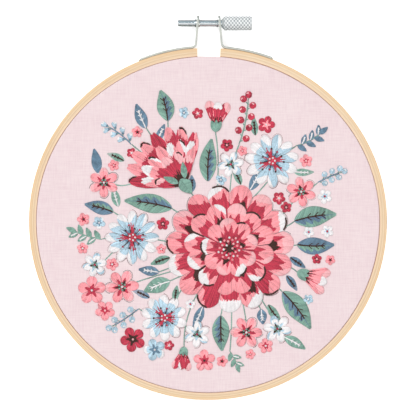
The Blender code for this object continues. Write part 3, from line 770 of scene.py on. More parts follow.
screw = bmesh.new()
thread_turns = round((THREAD_END - ROD_START) / THREAD_STEP) + 2  # one at each end is cut off
groove = [(0.0, CORE), (0.12, CORE), (0.32, CREST), (0.8, CREST), (1.0, CORE)]
begin = ROD_START - THREAD_STEP
spun_on_x(screw, [(begin + along * THREAD_STEP, radius) for along, radius in groove],
          THREAD_CORNERS * thread_turns, thread_turns, THREAD_STEP)
for cut, keep in ((ROD_START, 1), (THREAD_END, -1)):
    bmesh.ops.bisect_plane(screw, geom=screw.verts[:] + screw.edges[:] + screw.faces[:], dist=MERGE,
                           plane_co=(cut, 0, 0), plane_no=(-keep, 0, 0), clear_outer=True)
for vert in screw.verts:  # the turned point at the end of the rod
    allowed = CORE - 0.1 * MM + (vert.co.x - ROD_START) * 0.9
    radius = vert.co.yz.length
    if radius > allowed:
        vert.co.yz = vert.co.yz * (allowed / radius)
rod_end = [edge for edge in open_edges(screw) if abs(edge.verts[0].co.x - ROD_START) < MERGE]
bmesh.ops.holes_fill(screw, edges=rod_end, sides=0)
print("rod: %d turns of thread" % (thread_turns - 2))


# %% Keeper, neck and head
def turned_finish(centre):
    """The finish of a face of the turned parts, from where its middle is."""
    # the keeper takes the finish that is painted greyer as shade beside the lug
    if (KEEPER_START - MERGE < centre.x < KEEPER_END + MERGE
            and centre.yz.length > CREST + MERGE):
        return zinc_painted_shade
    if centre.x > KNURL_END:
        return zinc_face
    return zinc_neck if centre.x > NECK_START - MERGE else zinc_screw


spun_on_x(screw, [
    (THREAD_END - FINE, CORE), (THREAD_END, CORE), (THREAD_END + FINE, CREST),
    (KEEPER_START, CREST), (KEEPER_START, KEEPER_RADIUS - FINE),
    (KEEPER_START + FINE, KEEPER_RADIUS), (KEEPER_END - FINE, KEEPER_RADIUS),
    (KEEPER_END, KEEPER_RADIUS - FINE), (KEEPER_END, CREST), (NECK_START, CREST),
    (NECK_START, CREST + 0.4 * MM), (NECK_START + FINE, CREST + 0.5 * MM),
    (KNURL_START - FINE, KNURL_FLOOR), (KNURL_START + FINE, KNURL_FLOOR - FINE),
    (KNURL_END - FINE, KNURL_FLOOR - FINE), (KNURL_END, HEAD_RADIUS - 2 * FINE),
    (KNURL_END + FINE, HEAD_RADIUS - 1.5 * FINE), (HEAD_END - FINE, HEAD_RADIUS - 3 * FINE),
    (HEAD_END, HEAD_RADIUS - 5 * FINE), (HEAD_END, 1.1 * MM),
    (HEAD_END - 0.35 * MM, 0.3 * MM), (HEAD_END - 0.38 * MM, 0.0)], TURNED_CORNERS)
bmesh.ops.recalc_face_normals(screw, faces=screw.faces)
for face in screw.faces:
    face.material_index = SCREW_FINISHES.index(turned_finish(face.calc_center_median()))
print("turned parts: %d faces" % len(screw.faces))

# %% Knurl
knurl = bmesh.new()
steps = 4 * DIAMONDS_ALONG
sleeve = [(KNURL_START + (KNURL_END - KNURL_START) * step / steps, HEAD_RADIUS)
          for step in range(steps + 1)]
spun_on_x(knurl, sleeve, 4 * DIAMONDS_ROUND)
cuts = []
for vert in knurl.verts:  # two sets of cuts pass, and it is deepest where they cross
    along = (vert.co.x - KNURL_START) / (KNURL_END - KNURL_START) * DIAMONDS_ALONG
    around = math.atan2(vert.co.z, vert.co.y) / math.tau * DIAMONDS_ROUND
    near, far = sorted(abs(way - round(way)) for way in (along + around, along - around))
    depth = 1.0 if far < 0.05 else 0.55 if near < 0.05 else 0.3 if near < 0.3 else 0.0
    vert.co.yz *= 1 - depth * KNURL_DEPTH / HEAD_RADIUS
    if near < 0.05:
        cuts.append(vert)
bmesh.ops.connect_verts(knurl, verts=cuts)
inward = bmesh.ops.extrude_edge_only(knurl, edges=open_edges(knurl))["geom"]
for vert in points_in(inward):
    vert.co.yz *= (HEAD_RADIUS - 2 * KNURL_DEPTH) / vert.co.yz.length
bmesh.ops.recalc_face_normals(knurl, faces=knurl.faces)
if sum(face.normal.dot(Vector((0, *face.calc_center_median().yz))) for face in knurl.faces) < 0:
    bmesh.ops.reverse_faces(knurl, faces=knurl.faces)
for face in knurl.faces:
    face.material_index = SCREW_FINISHES.index(zinc_knurl)
print("knurl: %d x %d diamonds, %d faces" % (DIAMONDS_ROUND, DIAMONDS_ALONG, len(knurl.faces)))

# %% Thumb screw
sleeve_mesh = mesh_from("knurl", knurl)
screw.from_mesh(sleeve_mesh)
bpy.data.meshes.remove(sleeve_mesh)
bmesh.ops.translate(screw, verts=screw.verts, vec=(0, SCREW_Y, MID_DEPTH))
mesh = smoothed(mesh_from("knurled_screw", screw), 28)
piece("knurled_screw", mesh, "screw", ["thumb_screw"], SCREW_FINISHES)
print("knurled_screw: %d triangles" % triangles(mesh))

# %% [markdown]
# ## Stranded cotton
#
# Embroidery thread is a few loose strands with a soft twist, and mercerising makes them
# shine. Every stitch carries an attribute called strand: how far along it a point lies, how
# far across, and a painted shade of its own, because no two stitches catch the light alike.
# The group turns that into twist lines, sides painted darker as the shade between strands,
# the painted light and shade of each stitch, and a little unevenness of the dye. Each
# colour of thread is a material that feeds the group its dye.

# %% Thread effect
TWIST = 1.3 * MM  # how far a strand runs in one turn of its twist

cotton_twist, takes, gives = effect("stranded cotton", [("Dye", "Color"), ("Relief", "Float")],
                                    [("Color", "Color"), ("Height", "Float")])
tree = cotton_twist
strand = node(tree, "Attribute", attribute_name="strand").outputs["Vector"]
parts = node(tree, "SeparateXYZ", {0: strand}).outputs
slant = maths(tree, "ADD", maths(tree, "MULTIPLY", parts["X"], math.tau / TWIST),
              maths(tree, "MULTIPLY", parts["Y"], 5.0))
twist = maths(tree, "ADD", 0.5, maths(tree, "MULTIPLY", maths(tree, "SINE", slant), 0.5))
fuzz = stretched_noise(tree, strand, (1500, 7, 23), 2.0)
# painted shade: each strand is darker at its sides, and Z is the painted light and shade of each stitch
side = stepped(tree, maths(tree, "ABSOLUTE", parts["Y"]), 0.2, 0.5)
light = maths(tree, "ADD", maths(tree, "MULTIPLY", parts["Z"], 0.15), maths(tree, "MULTIPLY", fuzz, 0.44))
dark = maths(tree, "ADD", maths(tree, "MULTIPLY", side, 0.3), maths(tree, "MULTIPLY", twist, 0.14))
value = maths(tree, "SUBTRACT", maths(tree, "SUBTRACT", light, 0.06), dark)
value = maths(tree, "ADD", 0.98, maths(tree, "MULTIPLY", value, takes["Relief"]))
grey = node(tree, "CombineColor", {0: value, 1: value, 2: value}).outputs[0]
tree.links.new(mix(tree, 1.0, takes["Dye"], grey, "MULTIPLY"), gives["Color"])
height = maths(tree, "ADD", maths(tree, "MULTIPLY", twist, 0.6), maths(tree, "MULTIPLY", fuzz, 0.4))
tree.links.new(height, gives["Height"])
print("stranded cotton: %d nodes" % len(tree.nodes))


# %% Thread colours
def thread(name, dye, relief=1.0):
    """One colour of thread. relief is how strongly the painted shade of its strands shows."""
    made, tree, shader = shader_of("thread_" + name, Roughness=0.5, Sheen_Weight=0.2,
                                   Sheen_Roughness=0.4, Specular_IOR_Level=0.35)
    floss = node(tree, "Group", node_tree=cotton_twist)
    floss.inputs["Dye"].default_value = paint(*dye)
    floss.inputs["Relief"].default_value = relief
    tree.links.new(floss.outputs["Color"], shader.inputs["Base Color"])
    tree.links.new(bumped(tree, floss.outputs["Height"], 0.3, 0.06 * MM), shader.inputs["Normal"])
    return made


SALMON, CRIMSON, WHITE, SKY, SLATE, GREEN, BROWN, BLUSH = range(8)
THREADS = [thread("salmon", (253, 167, 174), 1.35), thread("crimson", (195, 59, 81), 1.9),
           thread("white", (250, 246, 247), 0.55), thread("sky", (187, 213, 227), 1.4),
           thread("slate", (108, 137, 159), 1.4), thread("green", (134, 172, 158), 1.4),
           thread("brown", (66, 36, 28)), thread("blush", (253, 194, 198), 0.9)]
# brown and blush have no solid of their own, and go by the nearest slot
print("threads:", len(THREADS))

# %% [markdown]
# ## One stitch and one knot
#
# A stitch comes up through the cloth, lies on it as a soft arch, and dives down again. It is
# shaped once, from a line that is spun in four steps. There are thousands, so each has only
# 14 faces, and numpy copies the shape along every stitch of a list in one go.
# A French knot is a strand wound about the needle: a small section spun with a climb.

# %% Stitch and knot shapes
STITCH_RINGS = ((0.0, 0.25), (0.14, 0.48), (0.86, 0.48), (1.0, 0.25))  # share along, radius
COIL_RADIUS, STRAND_RADIUS, COIL_HEIGHT = 0.31, 0.19, 0.17  # of a knot of diameter 1


def shape_of(bm):
    """The points and the four-sided faces of a small shape."""
    bm.verts.index_update()
    points = np.array([vert.co[:] for vert in bm.verts])
    faces = np.array([[vert.index for vert in face.verts] for face in bm.faces])
    bm.free()
    return points, faces


def stitch_shape():
    """A stitch of length 1 along X, width 1 and height 1."""
    bm = bmesh.new()
    spun_on_x(bm, STITCH_RINGS, 4)
    bmesh.ops.holes_fill(bm, edges=open_edges(bm), sides=4)
    bmesh.ops.recalc_face_normals(bm, faces=bm.faces)
    return shape_of(bm)


def knot_shape():
    """A wound knot of diameter 1, standing on z = 0."""
    bm = bmesh.new()
    bmesh.ops.create_circle(bm, cap_ends=False, segments=4, radius=STRAND_RADIUS)
    bmesh.ops.rotate(bm, verts=bm.verts, cent=(0, 0, 0), matrix=Matrix.Rotation(math.pi / 2, 3, "X"))
    bmesh.ops.translate(bm, verts=bm.verts, vec=(COIL_RADIUS, 0, COIL_HEIGHT))
    bmesh.ops.spin(bm, geom=bm.verts[:] + bm.edges[:], cent=(0, 0, 0), axis=(0, 0, 1),
                   angle=math.tau * 1.5, dvec=(-0.012, 0.0, 0.021), steps=12, use_duplicate=False)
    bmesh.ops.holes_fill(bm, edges=open_edges(bm), sides=4)
    bmesh.ops.recalc_face_normals(bm, faces=bm.faces)
    return shape_of(bm)


STITCH, KNOT = stitch_shape(), knot_shape()
print("a stitch has %d faces and a knot has %d" % (len(STITCH[1]), len(KNOT[1])))

# %% [markdown]
# ## Sewing a list of stitches
#
# A stitch in a list is its two ends in millimetres from the hoop's middle, its width, its
# lift and its colour. Longer stitches arch more. Where petals overlap, the upper ones have
# more lift, as on the real piece, where the needle comes up through the stitches below.

# %% Strands and knots
PITCH = 0.41  # from one strand to the next, in mm
WIDTH, BULK = 0.5, 0.3  # a strand's width and height
UP = (CLOTH_FACE + 0.02 * MM) / MM
ARCH, HIGHEST_ARCH = 0.02, 0.07  # a share of the stitch's length, and in mm
DIVE = 0.05  # how far a stitch's ends go down, in mm


def copied(shape, frames, marks):
    """Points, faces and strand marks of a shape that is set into many frames."""
    points, faces = shape
    first = np.arange(len(frames)) * len(points)  # the number of each copy's first point
    spread = (faces[None] + first[:, None, None]).reshape(-1, 4)
    return frames.reshape(-1, 3), spread, marks.reshape(-1, 3)


def drifting(count):
    """A painted shade for each of so many stitches, for the light each one catches. Neighbours are alike.
    """
    own = rng.uniform(-1, 1, count + 2)
    return 0.5 * own[1:-1] + 0.75 * (own[:-2] + own[1:-1] + own[2:]) / 1.73


def laid(stitches):
    """The strands of a list of stitches."""
    table = np.array(stitches, dtype=float)
    begin, end, width, lift = table[:, 0:2], table[:, 2:4], table[:, 4], table[:, 5]
    along = end - begin
    length = np.maximum(np.linalg.norm(along, axis=1), 1e-6)
    side = np.stack([-along[:, 1], along[:, 0]], axis=1) / length[:, None]
    share, across, up = STITCH[0].T
    flat = (begin[:, None] + along[:, None] * share[None, :, None]
            + side[:, None] * (across[None] * width[:, None])[..., None])
    bow = 4 * share * (1 - share)  # 0 at both ends and 1 in the middle
    arch = np.minimum(ARCH * length, HIGHEST_ARCH)[:, None] * bow[None]
    dive = -DIVE * (1 - np.minimum(bow * 1.6, 1.0))[None]
    rise = UP + lift[:, None] + arch + dive + (up[None] + 0.32) * BULK * (width / WIDTH)[:, None]
    marks = np.zeros((len(table), len(share), 3))
    marks[..., 0] = share[None] * length[:, None] * MM + rng.random((len(table), 1)) * 0.01
    marks[..., 1] = across[None]
    marks[..., 2] = drifting(len(table))[:, None]
    return copied(STITCH, np.concatenate([flat, rise[..., None]], axis=2), marks)


def wound(knots):
    """The knots of a list of (x, y, size, lift, colour)."""
    table = np.array(knots, dtype=float)
    spin = rng.uniform(0, math.tau, len(table))
    x, y, z = KNOT[0].T
    size = table[:, 2:3]
    flat_x = table[:, 0:1] + size * (x * np.cos(spin)[:, None] - y * np.sin(spin)[:, None])
    flat_y = table[:, 1:2] + size * (x * np.sin(spin)[:, None] + y * np.cos(spin)[:, None])
    rise = UP + table[:, 3:4] + size * z * 0.8
    marks = np.zeros((len(table), len(x), 3))
    marks[..., 0] = np.arctan2(y, x)[None] * 0.3 * size * MM
    marks[..., 1] = (np.hypot(x, y) - COIL_RADIUS)[None]
    marks[..., 2] = rng.uniform(-1, 1, (len(table), 1))
    return copied(KNOT, np.stack([flat_x, flat_y, rise], axis=2), marks)


# %% Sewing
sewn_triangles, worked = {}, []  # how many for each piece, and every stitch so far


def sew(name, stitches, knots=(), nodes=()):
    """One sewn piece from a list of stitches and a list of knots."""
    worked.extend(stitches)
    groups = [(laid(stitches), np.repeat([int(s[6]) for s in stitches], len(STITCH[1])))]
    if len(knots):
        groups.append((wound(knots), np.repeat([int(k[4]) for k in knots], len(KNOT[1]))))
    points, faces, marks, dyes, offset = [], [], [], [], 0
    for (spots, spread, mark), dye in groups:
        points.append(spots)
        faces.append(spread + offset)
        marks.append(mark)
        dyes.append(dye)
        offset += len(spots)
    points = np.concatenate(points) * MM + np.array([0, HOOP_Y, 0])
    dyes = np.concatenate(dyes)
    used = sorted(set(dyes.tolist()))
    mesh = bpy.data.meshes.new(name)
    mesh.from_pydata(points.tolist(), [], np.concatenate(faces).tolist())
    mesh.attributes.new("strand", "FLOAT_VECTOR", "POINT").data.foreach_set(
        "vector", np.concatenate(marks).astype(np.float32).ravel())
    mesh.polygons.foreach_set("material_index", np.searchsorted(used, dyes).astype(np.int32))
    mesh.shade_smooth()
    made = piece(name, mesh, "hoop", nodes,
                 [THREADS[dye] for dye in used])
    sewn_triangles[name] = triangles(mesh)
    print("%s: %d stitches, %d knots, %d triangles"
          % (name, len(stitches), len(knots), sewn_triangles[name]))
    return made


# %% [markdown]
# ## Ways to stitch
#
# Nearly everything here is long-and-short stitch. A patch is a function that gives a point
# from two shares, s along its lanes and t across them. Lanes fan out, so every second one
# starts only where there is room for it. Along a lane the colours change at places that the
# patch's bands give, which makes the pointed shading. Stems are stem stitch: short slanting
# stitches, each laid beside half of the last.

# %% Stitches by the patch
LANE_NEEDS = (0.0, 0.55, 0.27, 0.55)  # how wide a lane has to be to start, in shares of the pitch


def fill(place, bands, lift, pitch=PITCH, longest=4.8):
    """Stitches in lanes over a patch. bands(t) gives (share where it ends, colour) along a lane."""
    made = []
    shares = np.linspace(0, 1, 21)
    widths = [max(math.dist(place(s, -1), place(s, 1)), 10 * math.dist(place(s, -0.1), place(s, 0.1)))
              for s in shares]
    lanes = max(round(max(widths) / pitch), 2)
    for lane in range(lanes):
        t = (2 * lane + 1) / lanes - 1
        need = LANE_NEEDS[lane % len(LANE_NEEDS)] * pitch
        open_shares = [s for s, width in zip(shares, widths) if width / lanes >= need]
        if len(open_shares) < 2:
            continue
        at, last = open_shares[0], open_shares[-1]
        if at > 0:
            at = max(at - 0.08 * rng.random(), 0.0)
        for until, colour in bands(t):
            until = min(until + (rng.random() - 0.5) * 0.05 * (until < 1), last)
            if until - at < 0.02:
                continue
            length = math.dist(place(at, t), place(until, t))
            count = max(math.ceil(length / longest), 1)
            steps = [k + (0.5 * (rng.random() - 0.5) if 0 < k < count else 0)
                     for k in range(count + 1)]
            stops = [at + (until - at) * step / count for step in steps]
            for one, other in zip(stops, stops[1:]):
                made.append(stitch(place(one, t), place(other, t), lift, colour))
            at = until
    return made


def stitch(one, other, lift, colour, width=WIDTH, lap=0.22):
    """One stitch, a little longer at both ends so that neighbours lap."""
    (x, y), (u, v) = one, other
    length = max(math.hypot(u - x, v - y), 1e-6)
    along, up = (u - x) / length * lap, (v - y) / length * lap
    return (x - along, y - up, u + along, v + up, width, lift, colour)


# %% Stem stitch and bent stems
def stem(path, lift, colour, width=0.52, step=1.15):
    """Stem stitch along a path of points in mm."""
    lengths = np.cumsum([0] + [math.dist(a, b) for a, b in zip(path, path[1:])])
    xs, ys = np.array(path).T
    made = []
    for start in np.arange(-0.2 * step, lengths[-1] - 0.6 * step, step):
        ends = np.clip([start, start + 2.1 * step], 0, lengths[-1])
        (x, u), (y, v) = np.interp(ends, lengths, xs), np.interp(ends, lengths, ys)
        length = max(math.hypot(u - x, v - y), 1e-6)
        out_x, out_y = -(v - y) / length * 0.15, (u - x) / length * 0.15
        made.append(stitch((x + out_x, y + out_y), (u - out_x, v - out_y), lift, colour, width, 0.0))
    return made


def bent(start, toward, length, bend, count=12):
    """Points along a stem that turns evenly, in mm and degrees, with its heading at each."""
    x, y = start
    points = [(x, y, math.radians(toward))]
    for step in range(count):
        heading = math.radians(toward + bend * (step + 0.5) / count)
        x, y = x + math.cos(heading) * length / count, y + math.sin(heading) * length / count
        points.append((x, y, math.radians(toward + bend * (step + 1) / count)))
    return points


# %% [markdown]
# ## Petals, leaves and their shading
#
# A petal is a patch whose lanes fan out from the flower's middle, and its outline dips at
# both sides as the solid's does. A stitcher shades it with flat colours that meet in crisp
# edges: long dark points run up from its foot, and a light crescent hugs part of its rim. A
# leaf is two patches, one on each side of its midrib, whose lanes slant forward as in
# fishbone stitch.

# %% Petals and their shading
def out_from(centre, reach, angle):
    """The point at this reach and angle from a centre."""
    return centre[0] + reach * math.cos(angle), centre[1] + reach * math.sin(angle)


def petal(centre, toward, spread, near, far, notch=0.86, sharp=0.7, full=0.97, belly=0.0):
    """A patch for one petal. Angles are in radians and sizes in mm. belly rounds its sides."""
    def place(s, t):
        reach = far * (1 - (1 - notch) * (1 - abs(math.cos(t * math.pi / 2)) ** sharp))
        angle = toward + spread * t * full * (1 - belly * (2 * s - 1.1) ** 2)
        return out_from(centre, near + (reach - near) * s, angle)
    return place


def points_up(low, high, count):
    """The edge of the dark foot of a petal: low, with a few long points up to high."""
    tips = [(-1 + 2 * (number + rng.uniform(0.25, 0.75)) / count, rng.uniform(0.55, 0.8) / count,
             (high - low) * rng.uniform(0.5, 1.0)) for number in range(count)]
    return lambda t: low + max(tall * max(1 - abs(t - at) / half, 0) for at, half, tall in tips)


def crescent(start, end, thick):
    """The edge of a light crescent that hugs the rim from start to end."""
    def edge(t):
        if not start < t < end:
            return 1.0
        return 1 - thick * math.sin(math.pi * (t - start) / (end - start)) ** 0.7
    return edge


def shading(base, body, rim=None, foot=None, light=None, deep=None):
    """Bands for a petal: base below the foot edge, rim above the light edge, and body between.
    Below the edge deep, if there is one, the base is brown."""
    foot = foot or points_up(0.2, 0.5, 2)

    def bands(t):
        until = foot(t)
        start = max(light(t), until) if light else 1.0
        dark = [(min(deep(t), until), BROWN)] if deep else []
        return dark + [(until, base), (start, body), (1.0, body if rim is None else rim)]

    return bands


def some_crescent(thick):
    """A crescent on one side of a petal or right across it, as it comes."""
    start, end = ((-1.3, 0.6), (-0.6, 1.3), (-1.2, 1.2), (-1.4, 0.0))[int(rng.integers(4))]
    return crescent(start, end, thick * rng.uniform(0.7, 1.2))


# %% Leaves by the lane
RIB_STEPS, VEIN_POINTS = 16, 13  # along a midrib, and how many of its points the vein follows


def leaf_sizes(place, toward, length, width, bend=0):
    """The sizes of one leaf, as in a row of the tables."""
    return {"x": place[0], "y": place[1], "toward": toward, "length": length, "width": width,
            "bend": bend}


def leaf_stitches(sizes, lift, body, shade, vein=BROWN):
    """A leaf in fishbone stitch with a stem-stitched midrib."""
    rib = bent((sizes["x"], sizes["y"]), sizes["toward"], sizes["length"], sizes["bend"], RIB_STEPS)

    def at(share):
        where = min(max(share, 0.0), 1.0) * RIB_STEPS
        low = min(int(where), RIB_STEPS - 1)
        return [a + (b - a) * (where - low) for a, b in zip(rib[low], rib[low + 1])]

    made = []
    for side in (1, -1):
        def place(s, t):
            root = (t + 1) * 0.59 - 0.18
            tip = root + 0.18 * (1 - max(root, 0.0)) if root < 1 else 1.0
            x, y, _ = at(root)
            u, v, heading = at(tip)
            tip = min(max(tip, 0.0), 1.0)
            half = side * sizes["width"] / 2 * (0.08 + 0.92 * math.sin(math.pi * tip ** 0.8))
            u, v = u - half * math.sin(heading), v + half * math.cos(heading)
            return x + (u - x) * s, y + (v - y) * s

        def bands(t):
            if side > 0 or shade is None:
                return [(1.0, body)]
            depth = 0.3 + 0.45 * abs(math.sin(t * 9)) if t < 0.55 else 0.1
            return [(depth, shade), (1.0, body)]

        lanes = max(round(sizes["length"] * 1.15 / PITCH), 8)
        for lane in range(lanes):
            t = (2 * lane + 1) / lanes - 1
            at_share = 0.0
            for until, colour in bands(t):
                made.append(stitch(place(at_share, t), place(until, t), lift + 0.02 * (lane % 2), colour))
                at_share = until
    if vein is not None:
        made += stem([(x, y) for x, y, _ in rib[:VEIN_POINTS]], lift + 0.2, vein, 0.62)
        for share in (0.3, 0.48, 0.64):
            x, y, heading = at(share)
            for side in (1, -1):
                tip = out_from((x, y), 0.3 * sizes["width"], heading + side * math.radians(38))
                made.append(stitch((x, y), tip, lift + 0.17, vein, 0.46, 0.0))
    return made


# %% [markdown]
# ## The spray, in tables
#
# The flowers stand where the solids' low pads are, so their sizes are repeated here from the
# solids: x and y in millimetres from the hoop's middle, and angles in degrees. The spray is a
# plain florist's mixture.

# %% Tables of motifs
SPRAY_SCALE = 0.95
LENGTHS = ("x", "y", "radius", "length", "width", "lobe")


def motifs(columns, table):
    """Rows with their lengths brought to the spray's real scale."""
    for name, sizes in rows(columns, table):
        yield name, {key: value * SPRAY_SCALE if key in LENGTHS else value
                     for key, value in sizes.items()}


def sizes_in(columns, table):
    """The same rows as a list, without their names."""
    return [sizes for name, sizes in motifs(columns, table)]


BLOOM_COLUMNS = ("x", "y", "radius", "petals", "notch", "turn", "colour")
DAHLIA = {"bloom_dahlia": (12, -15, 35, 15, 0.86, 6, SALMON)}
ASTERS = {
    "aster_top": (35, 33, 14.5, 11, 0.7, 10, SKY),
    "aster_left": (-41.5, -9, 14.5, 12, 0.7, 0, SKY),
    "aster_low": (-24, -53, 12.5, 10, 0.7, 20, SKY),
}
STARS = {
    "star_1": (12.5, 31, 7, 6, 0.55, 12, WHITE),
    "star_2": (51, 16, 8, 6, 0.55, 40, SALMON),
    "star_3": (21, -61, 8.5, 6, 0.55, 0, SALMON),
    "star_4": (-6, -62, 7, 6, 0.55, 25, WHITE),
    "star_5": (-47, -36, 9, 6, 0.55, 5, SALMON),
    "star_6": (-57, 21, 8, 6, 0.55, 30, SALMON),
    "star_7": (38, -59, 7.5, 6, 0.55, 50, WHITE),
    "star_8": (-62, -24, 6.5, 6, 0.55, 15, WHITE),
}
FAN_COLUMNS = ("x", "y", "radius", "toward", "spread", "colour")
CARNATION = {"bloom_carnation": (-12, 19, 35, 128, 56, CRIMSON)}
TULIPS = {
    "tulip_right": (49, -28, 18, -20, 28, SALMON),
    "tulip_low": (-13, -69, 13, 262, 28, CRIMSON),
    "tulip_top": (4, 49, 17, 84, 28, CRIMSON),
}
LEAF_COLUMNS = ("x", "y", "toward", "length", "width", "bend", "colour")
LEAVES = {
    "leaf_1": (47.5, 0, 18, 23, 11, -18, GREEN),
    "leaf_2": (49, -13, -8, 20, 9, 16, SLATE),
    "leaf_3": (41, -39, -44, 25, 11, -18, GREEN),
    "leaf_4": (7, -52, -92, 19, 9, 8, GREEN),
    "leaf_5": (-21, -33, 196, 15, 8, 12, GREEN),
    "leaf_6": (-20, 7, 163, 26, 10, 16, GREEN),
    "leaf_7": (0, 22, 94, 23, 9, -18, GREEN),
    "leaf_8": (-22, 55, 96, 17, 9, 16, GREEN),
    "leaf_9": (-52, 5, 158, 16, 7, 14, SLATE),
    "leaf_10": (29, -48.5, -82, 8, 5, 0, SLATE),
    "leaf_11": (-27, -28, 172, 11, 5, 0, SLATE),
    "leaf_12": (-34, 51, 118, 14, 6, -12, SLATE),
}
SPRIG_COLUMNS = ("x", "y", "toward", "length", "bend", "pairs", "lobe", "kind", "colour")
SPRIGS = {
    "sprig_top": (17, 42, 70, 24, 16, 4, 5.5, "berry", CRIMSON),
    "sprig_slate": (48, 41, 14, 15, 26, 3, 5.5, "leaflet", SLATE),
    "sprig_bells": (-42, 42, 132, 15, 20, 3, 5, "bell", SKY),
    "sprig_left": (-58, -10, 172, 15, -16, 3, 5.5, "leaflet", GREEN),
    "sprig_sky": (-38, -48, 220, 16, -12, 3, 5, "berry", SKY),
    "sprig_low": (12, -71.5, -52, 8, -20, 2, 4.5, "leaflet", GREEN),
    "sprig_right": (60, 21, 30, 13, -12, 3, 4.5, "berry", SKY),
}
print("motifs:", 2 + len(ASTERS) + len(STARS) + len(TULIPS) + len(LEAVES) + len(SPRIGS))

# %% [markdown]
# ## Stems and small leaves behind
#
# The stems are worked first, straight on the cloth, with small leaves that peep out from
# under the flowers. They are one piece, because one needle works them in one go. Each stem is
# a bend through three points.

# %% Stems
STEMS = (
    ((4, 49), (6.5, 36), (5, 16)), ((17, 42), (13, 32), (12, 16)), ((33, 22), (28, 16), (24, 12)),
    ((48, 41), (44, 38), (40, 36)), ((60, 21), (57, 18), (52, 16)), ((48, 12), (42, 5), (38, 0)),
    ((47.5, 0), (44, -3), (38, -5)), ((49, -13), (44, -14), (38, -14)), ((49, -28), (44, -24), (38, -22)),
    ((41, -39), (37, -35), (30, -30)), ((37, -54), (31, -47), (28, -40)),
    ((29, -48.5), (27, -45), (25, -40)), ((21, -55), (20, -50), (19, -44)), ((7, -52), (8, -48), (8, -44)),
    ((12, -71.5), (13, -60), (13, -46)), ((-13, -69), (-14, -55), (-6, -40)),
    ((-18, -45), (-16, -38), (-11, -34)), ((-21, -33), (-17, -31), (-12, -29)),
    ((-27, -28), (-22, -26), (-16, -24)), ((-29, -10), (-24, -11), (-18, -12)),
    ((-41, -34), (-32, -31), (-18, -27)), ((-58, -23), (-54, -19), (-50, -15)),
    ((-38, -48), (-35, -50), (-30, -51)), ((-58, -10), (-55, -9), (-50, -8)),
    ((-52, 5), (-47, 2), (-43, 0)), ((-20, 7), (-16, 4), (-10, 2)), ((-51, 20), (-46, 18), (-38, 22)),
    ((-42, 42), (-38, 39), (-35, 36)), ((-34, 51), (-31, 47), (-29, 43)), ((-22, 55), (-22, 51), (-21, 47)),
    ((-12, 19), (-8, 13), (-2, 8)),
)
SMALL_LEAVES = (
    (23, 17, 58, 14, 5.5, 10, SLATE), (45, -20, -34, 10, 4, 0, SLATE), (33, -46, -60, 12, 4.5, 14, GREEN),
    (-3, -47, 252, 13, 5, -12, SLATE), (-21, -20, 196, 11, 4.5, 8, GREEN), (-9, 16, 84, 9, 4, 12, SLATE),
    (-49, 8, 110, 11, 4.5, -10, GREEN), (-32, -42, 150, 10, 4, 12, SLATE), (26, 47, 100, 10, 4, -10, GREEN),
    (47, 27, -8, 11, 4, 14, GREEN), (18, 20, 110, 10, 4, 14, GREEN), (43, -30, -50, 10, 4, -10, SLATE),
    (-28, 44, 60, 10, 4, 10, SLATE), (-46, 33, 150, 10, 4, 14, GREEN),
)


def bend_through(points, count=14):
    """A smooth line through the first and last of three points, drawn towards the second."""
    (a, b), (c, d), (e, f) = [(x * SPRAY_SCALE, y * SPRAY_SCALE) for x, y in points]
    shares = [step / count for step in range(count + 1)]
    return [((1 - s) ** 2 * a + 2 * s * (1 - s) * c + s * s * e,
             (1 - s) ** 2 * b + 2 * s * (1 - s) * d + s * s * f) for s in shares]


BEHIND = -0.1  # how far the stems are drawn into the cloth, in mm
stems = []
for points in STEMS:
    stems += stem(bend_through(points), BEHIND, GREEN, 0.55)
small_leaves = sizes_in(LEAF_COLUMNS, dict(enumerate(SMALL_LEAVES)))
for number, sizes in enumerate(small_leaves):
    stems += leaf_stitches(sizes, BEHIND - 0.06, sizes["colour"], None,
                           WHITE if number % 3 == 0 else BROWN)
sew("stems_and_small_leaves", stems)

# %% [markdown]
# ## Filling the gaps
#
# A full bouquet leaves little bare cloth between its flowers. The larger motifs are taken as
# round spots. Five-petalled blossoms are tried at places drawn by lot, the largest first, and
# small ones beside those. Then come leaves round the edge of the round flowers. Each is kept
# only where there is room for it, and a blossom also has to nestle against what is there, as
# in a real bunch.

# %% Finding room
FULL_REACH = 66.0  # from the middle of the spray, in mm
SPRAY_MIDDLE = (-1.0, -8.0)


def leaf_spots(row):
    """Round spots that cover a leaf or a sprig, as (x, y, radius)."""
    rib = bent((row["x"], row["y"]), row["toward"], row["length"], row["bend"], 12)
    half = row["width"] / 2 if "width" in row else row["lobe"] * 0.85
    return [(x, y, half) for x, y, _ in rib[2:-1:3]]


def fan_spots(row):
    """Round spots that cover a flower seen from the side."""
    made = []
    for share in (0.2, 0.5, 0.8):
        for swing in (-0.7, 0.0, 0.7):
            angle = math.radians(row["toward"] + swing * row["spread"])
            place = out_from((row["x"], row["y"]), share * row["radius"], angle)
            made.append((*place, 0.27 * row["radius"]))
    return made


flowers = (sizes_in(BLOOM_COLUMNS, DAHLIA) + sizes_in(BLOOM_COLUMNS, ASTERS)
           + sizes_in(BLOOM_COLUMNS, STARS))
spots = [(row["x"], row["y"], row["radius"]) for row in flowers]
for row in sizes_in(FAN_COLUMNS, CARNATION) + sizes_in(FAN_COLUMNS, TULIPS):
    spots += fan_spots(row)
for row in sizes_in(LEAF_COLUMNS, LEAVES) + small_leaves + sizes_in(SPRIG_COLUMNS, SPRIGS):
    spots += leaf_spots(row)
print("taken already: %d round spots" % len(spots))


def room(x, y):
    """How far it is from here to the nearest spot, in mm."""
    return min(math.dist((x, y), (a, b)) - radius for a, b, radius in spots)


# %% Where small blossoms find room
BLOSSOM_SIZES = (7.2, 6.4, 5.6, 5.0, 4.4, 3.8, 3.2, 2.8, 2.5)
BLOSSOM_TRIES = 2000  # for each size
blossoms = []


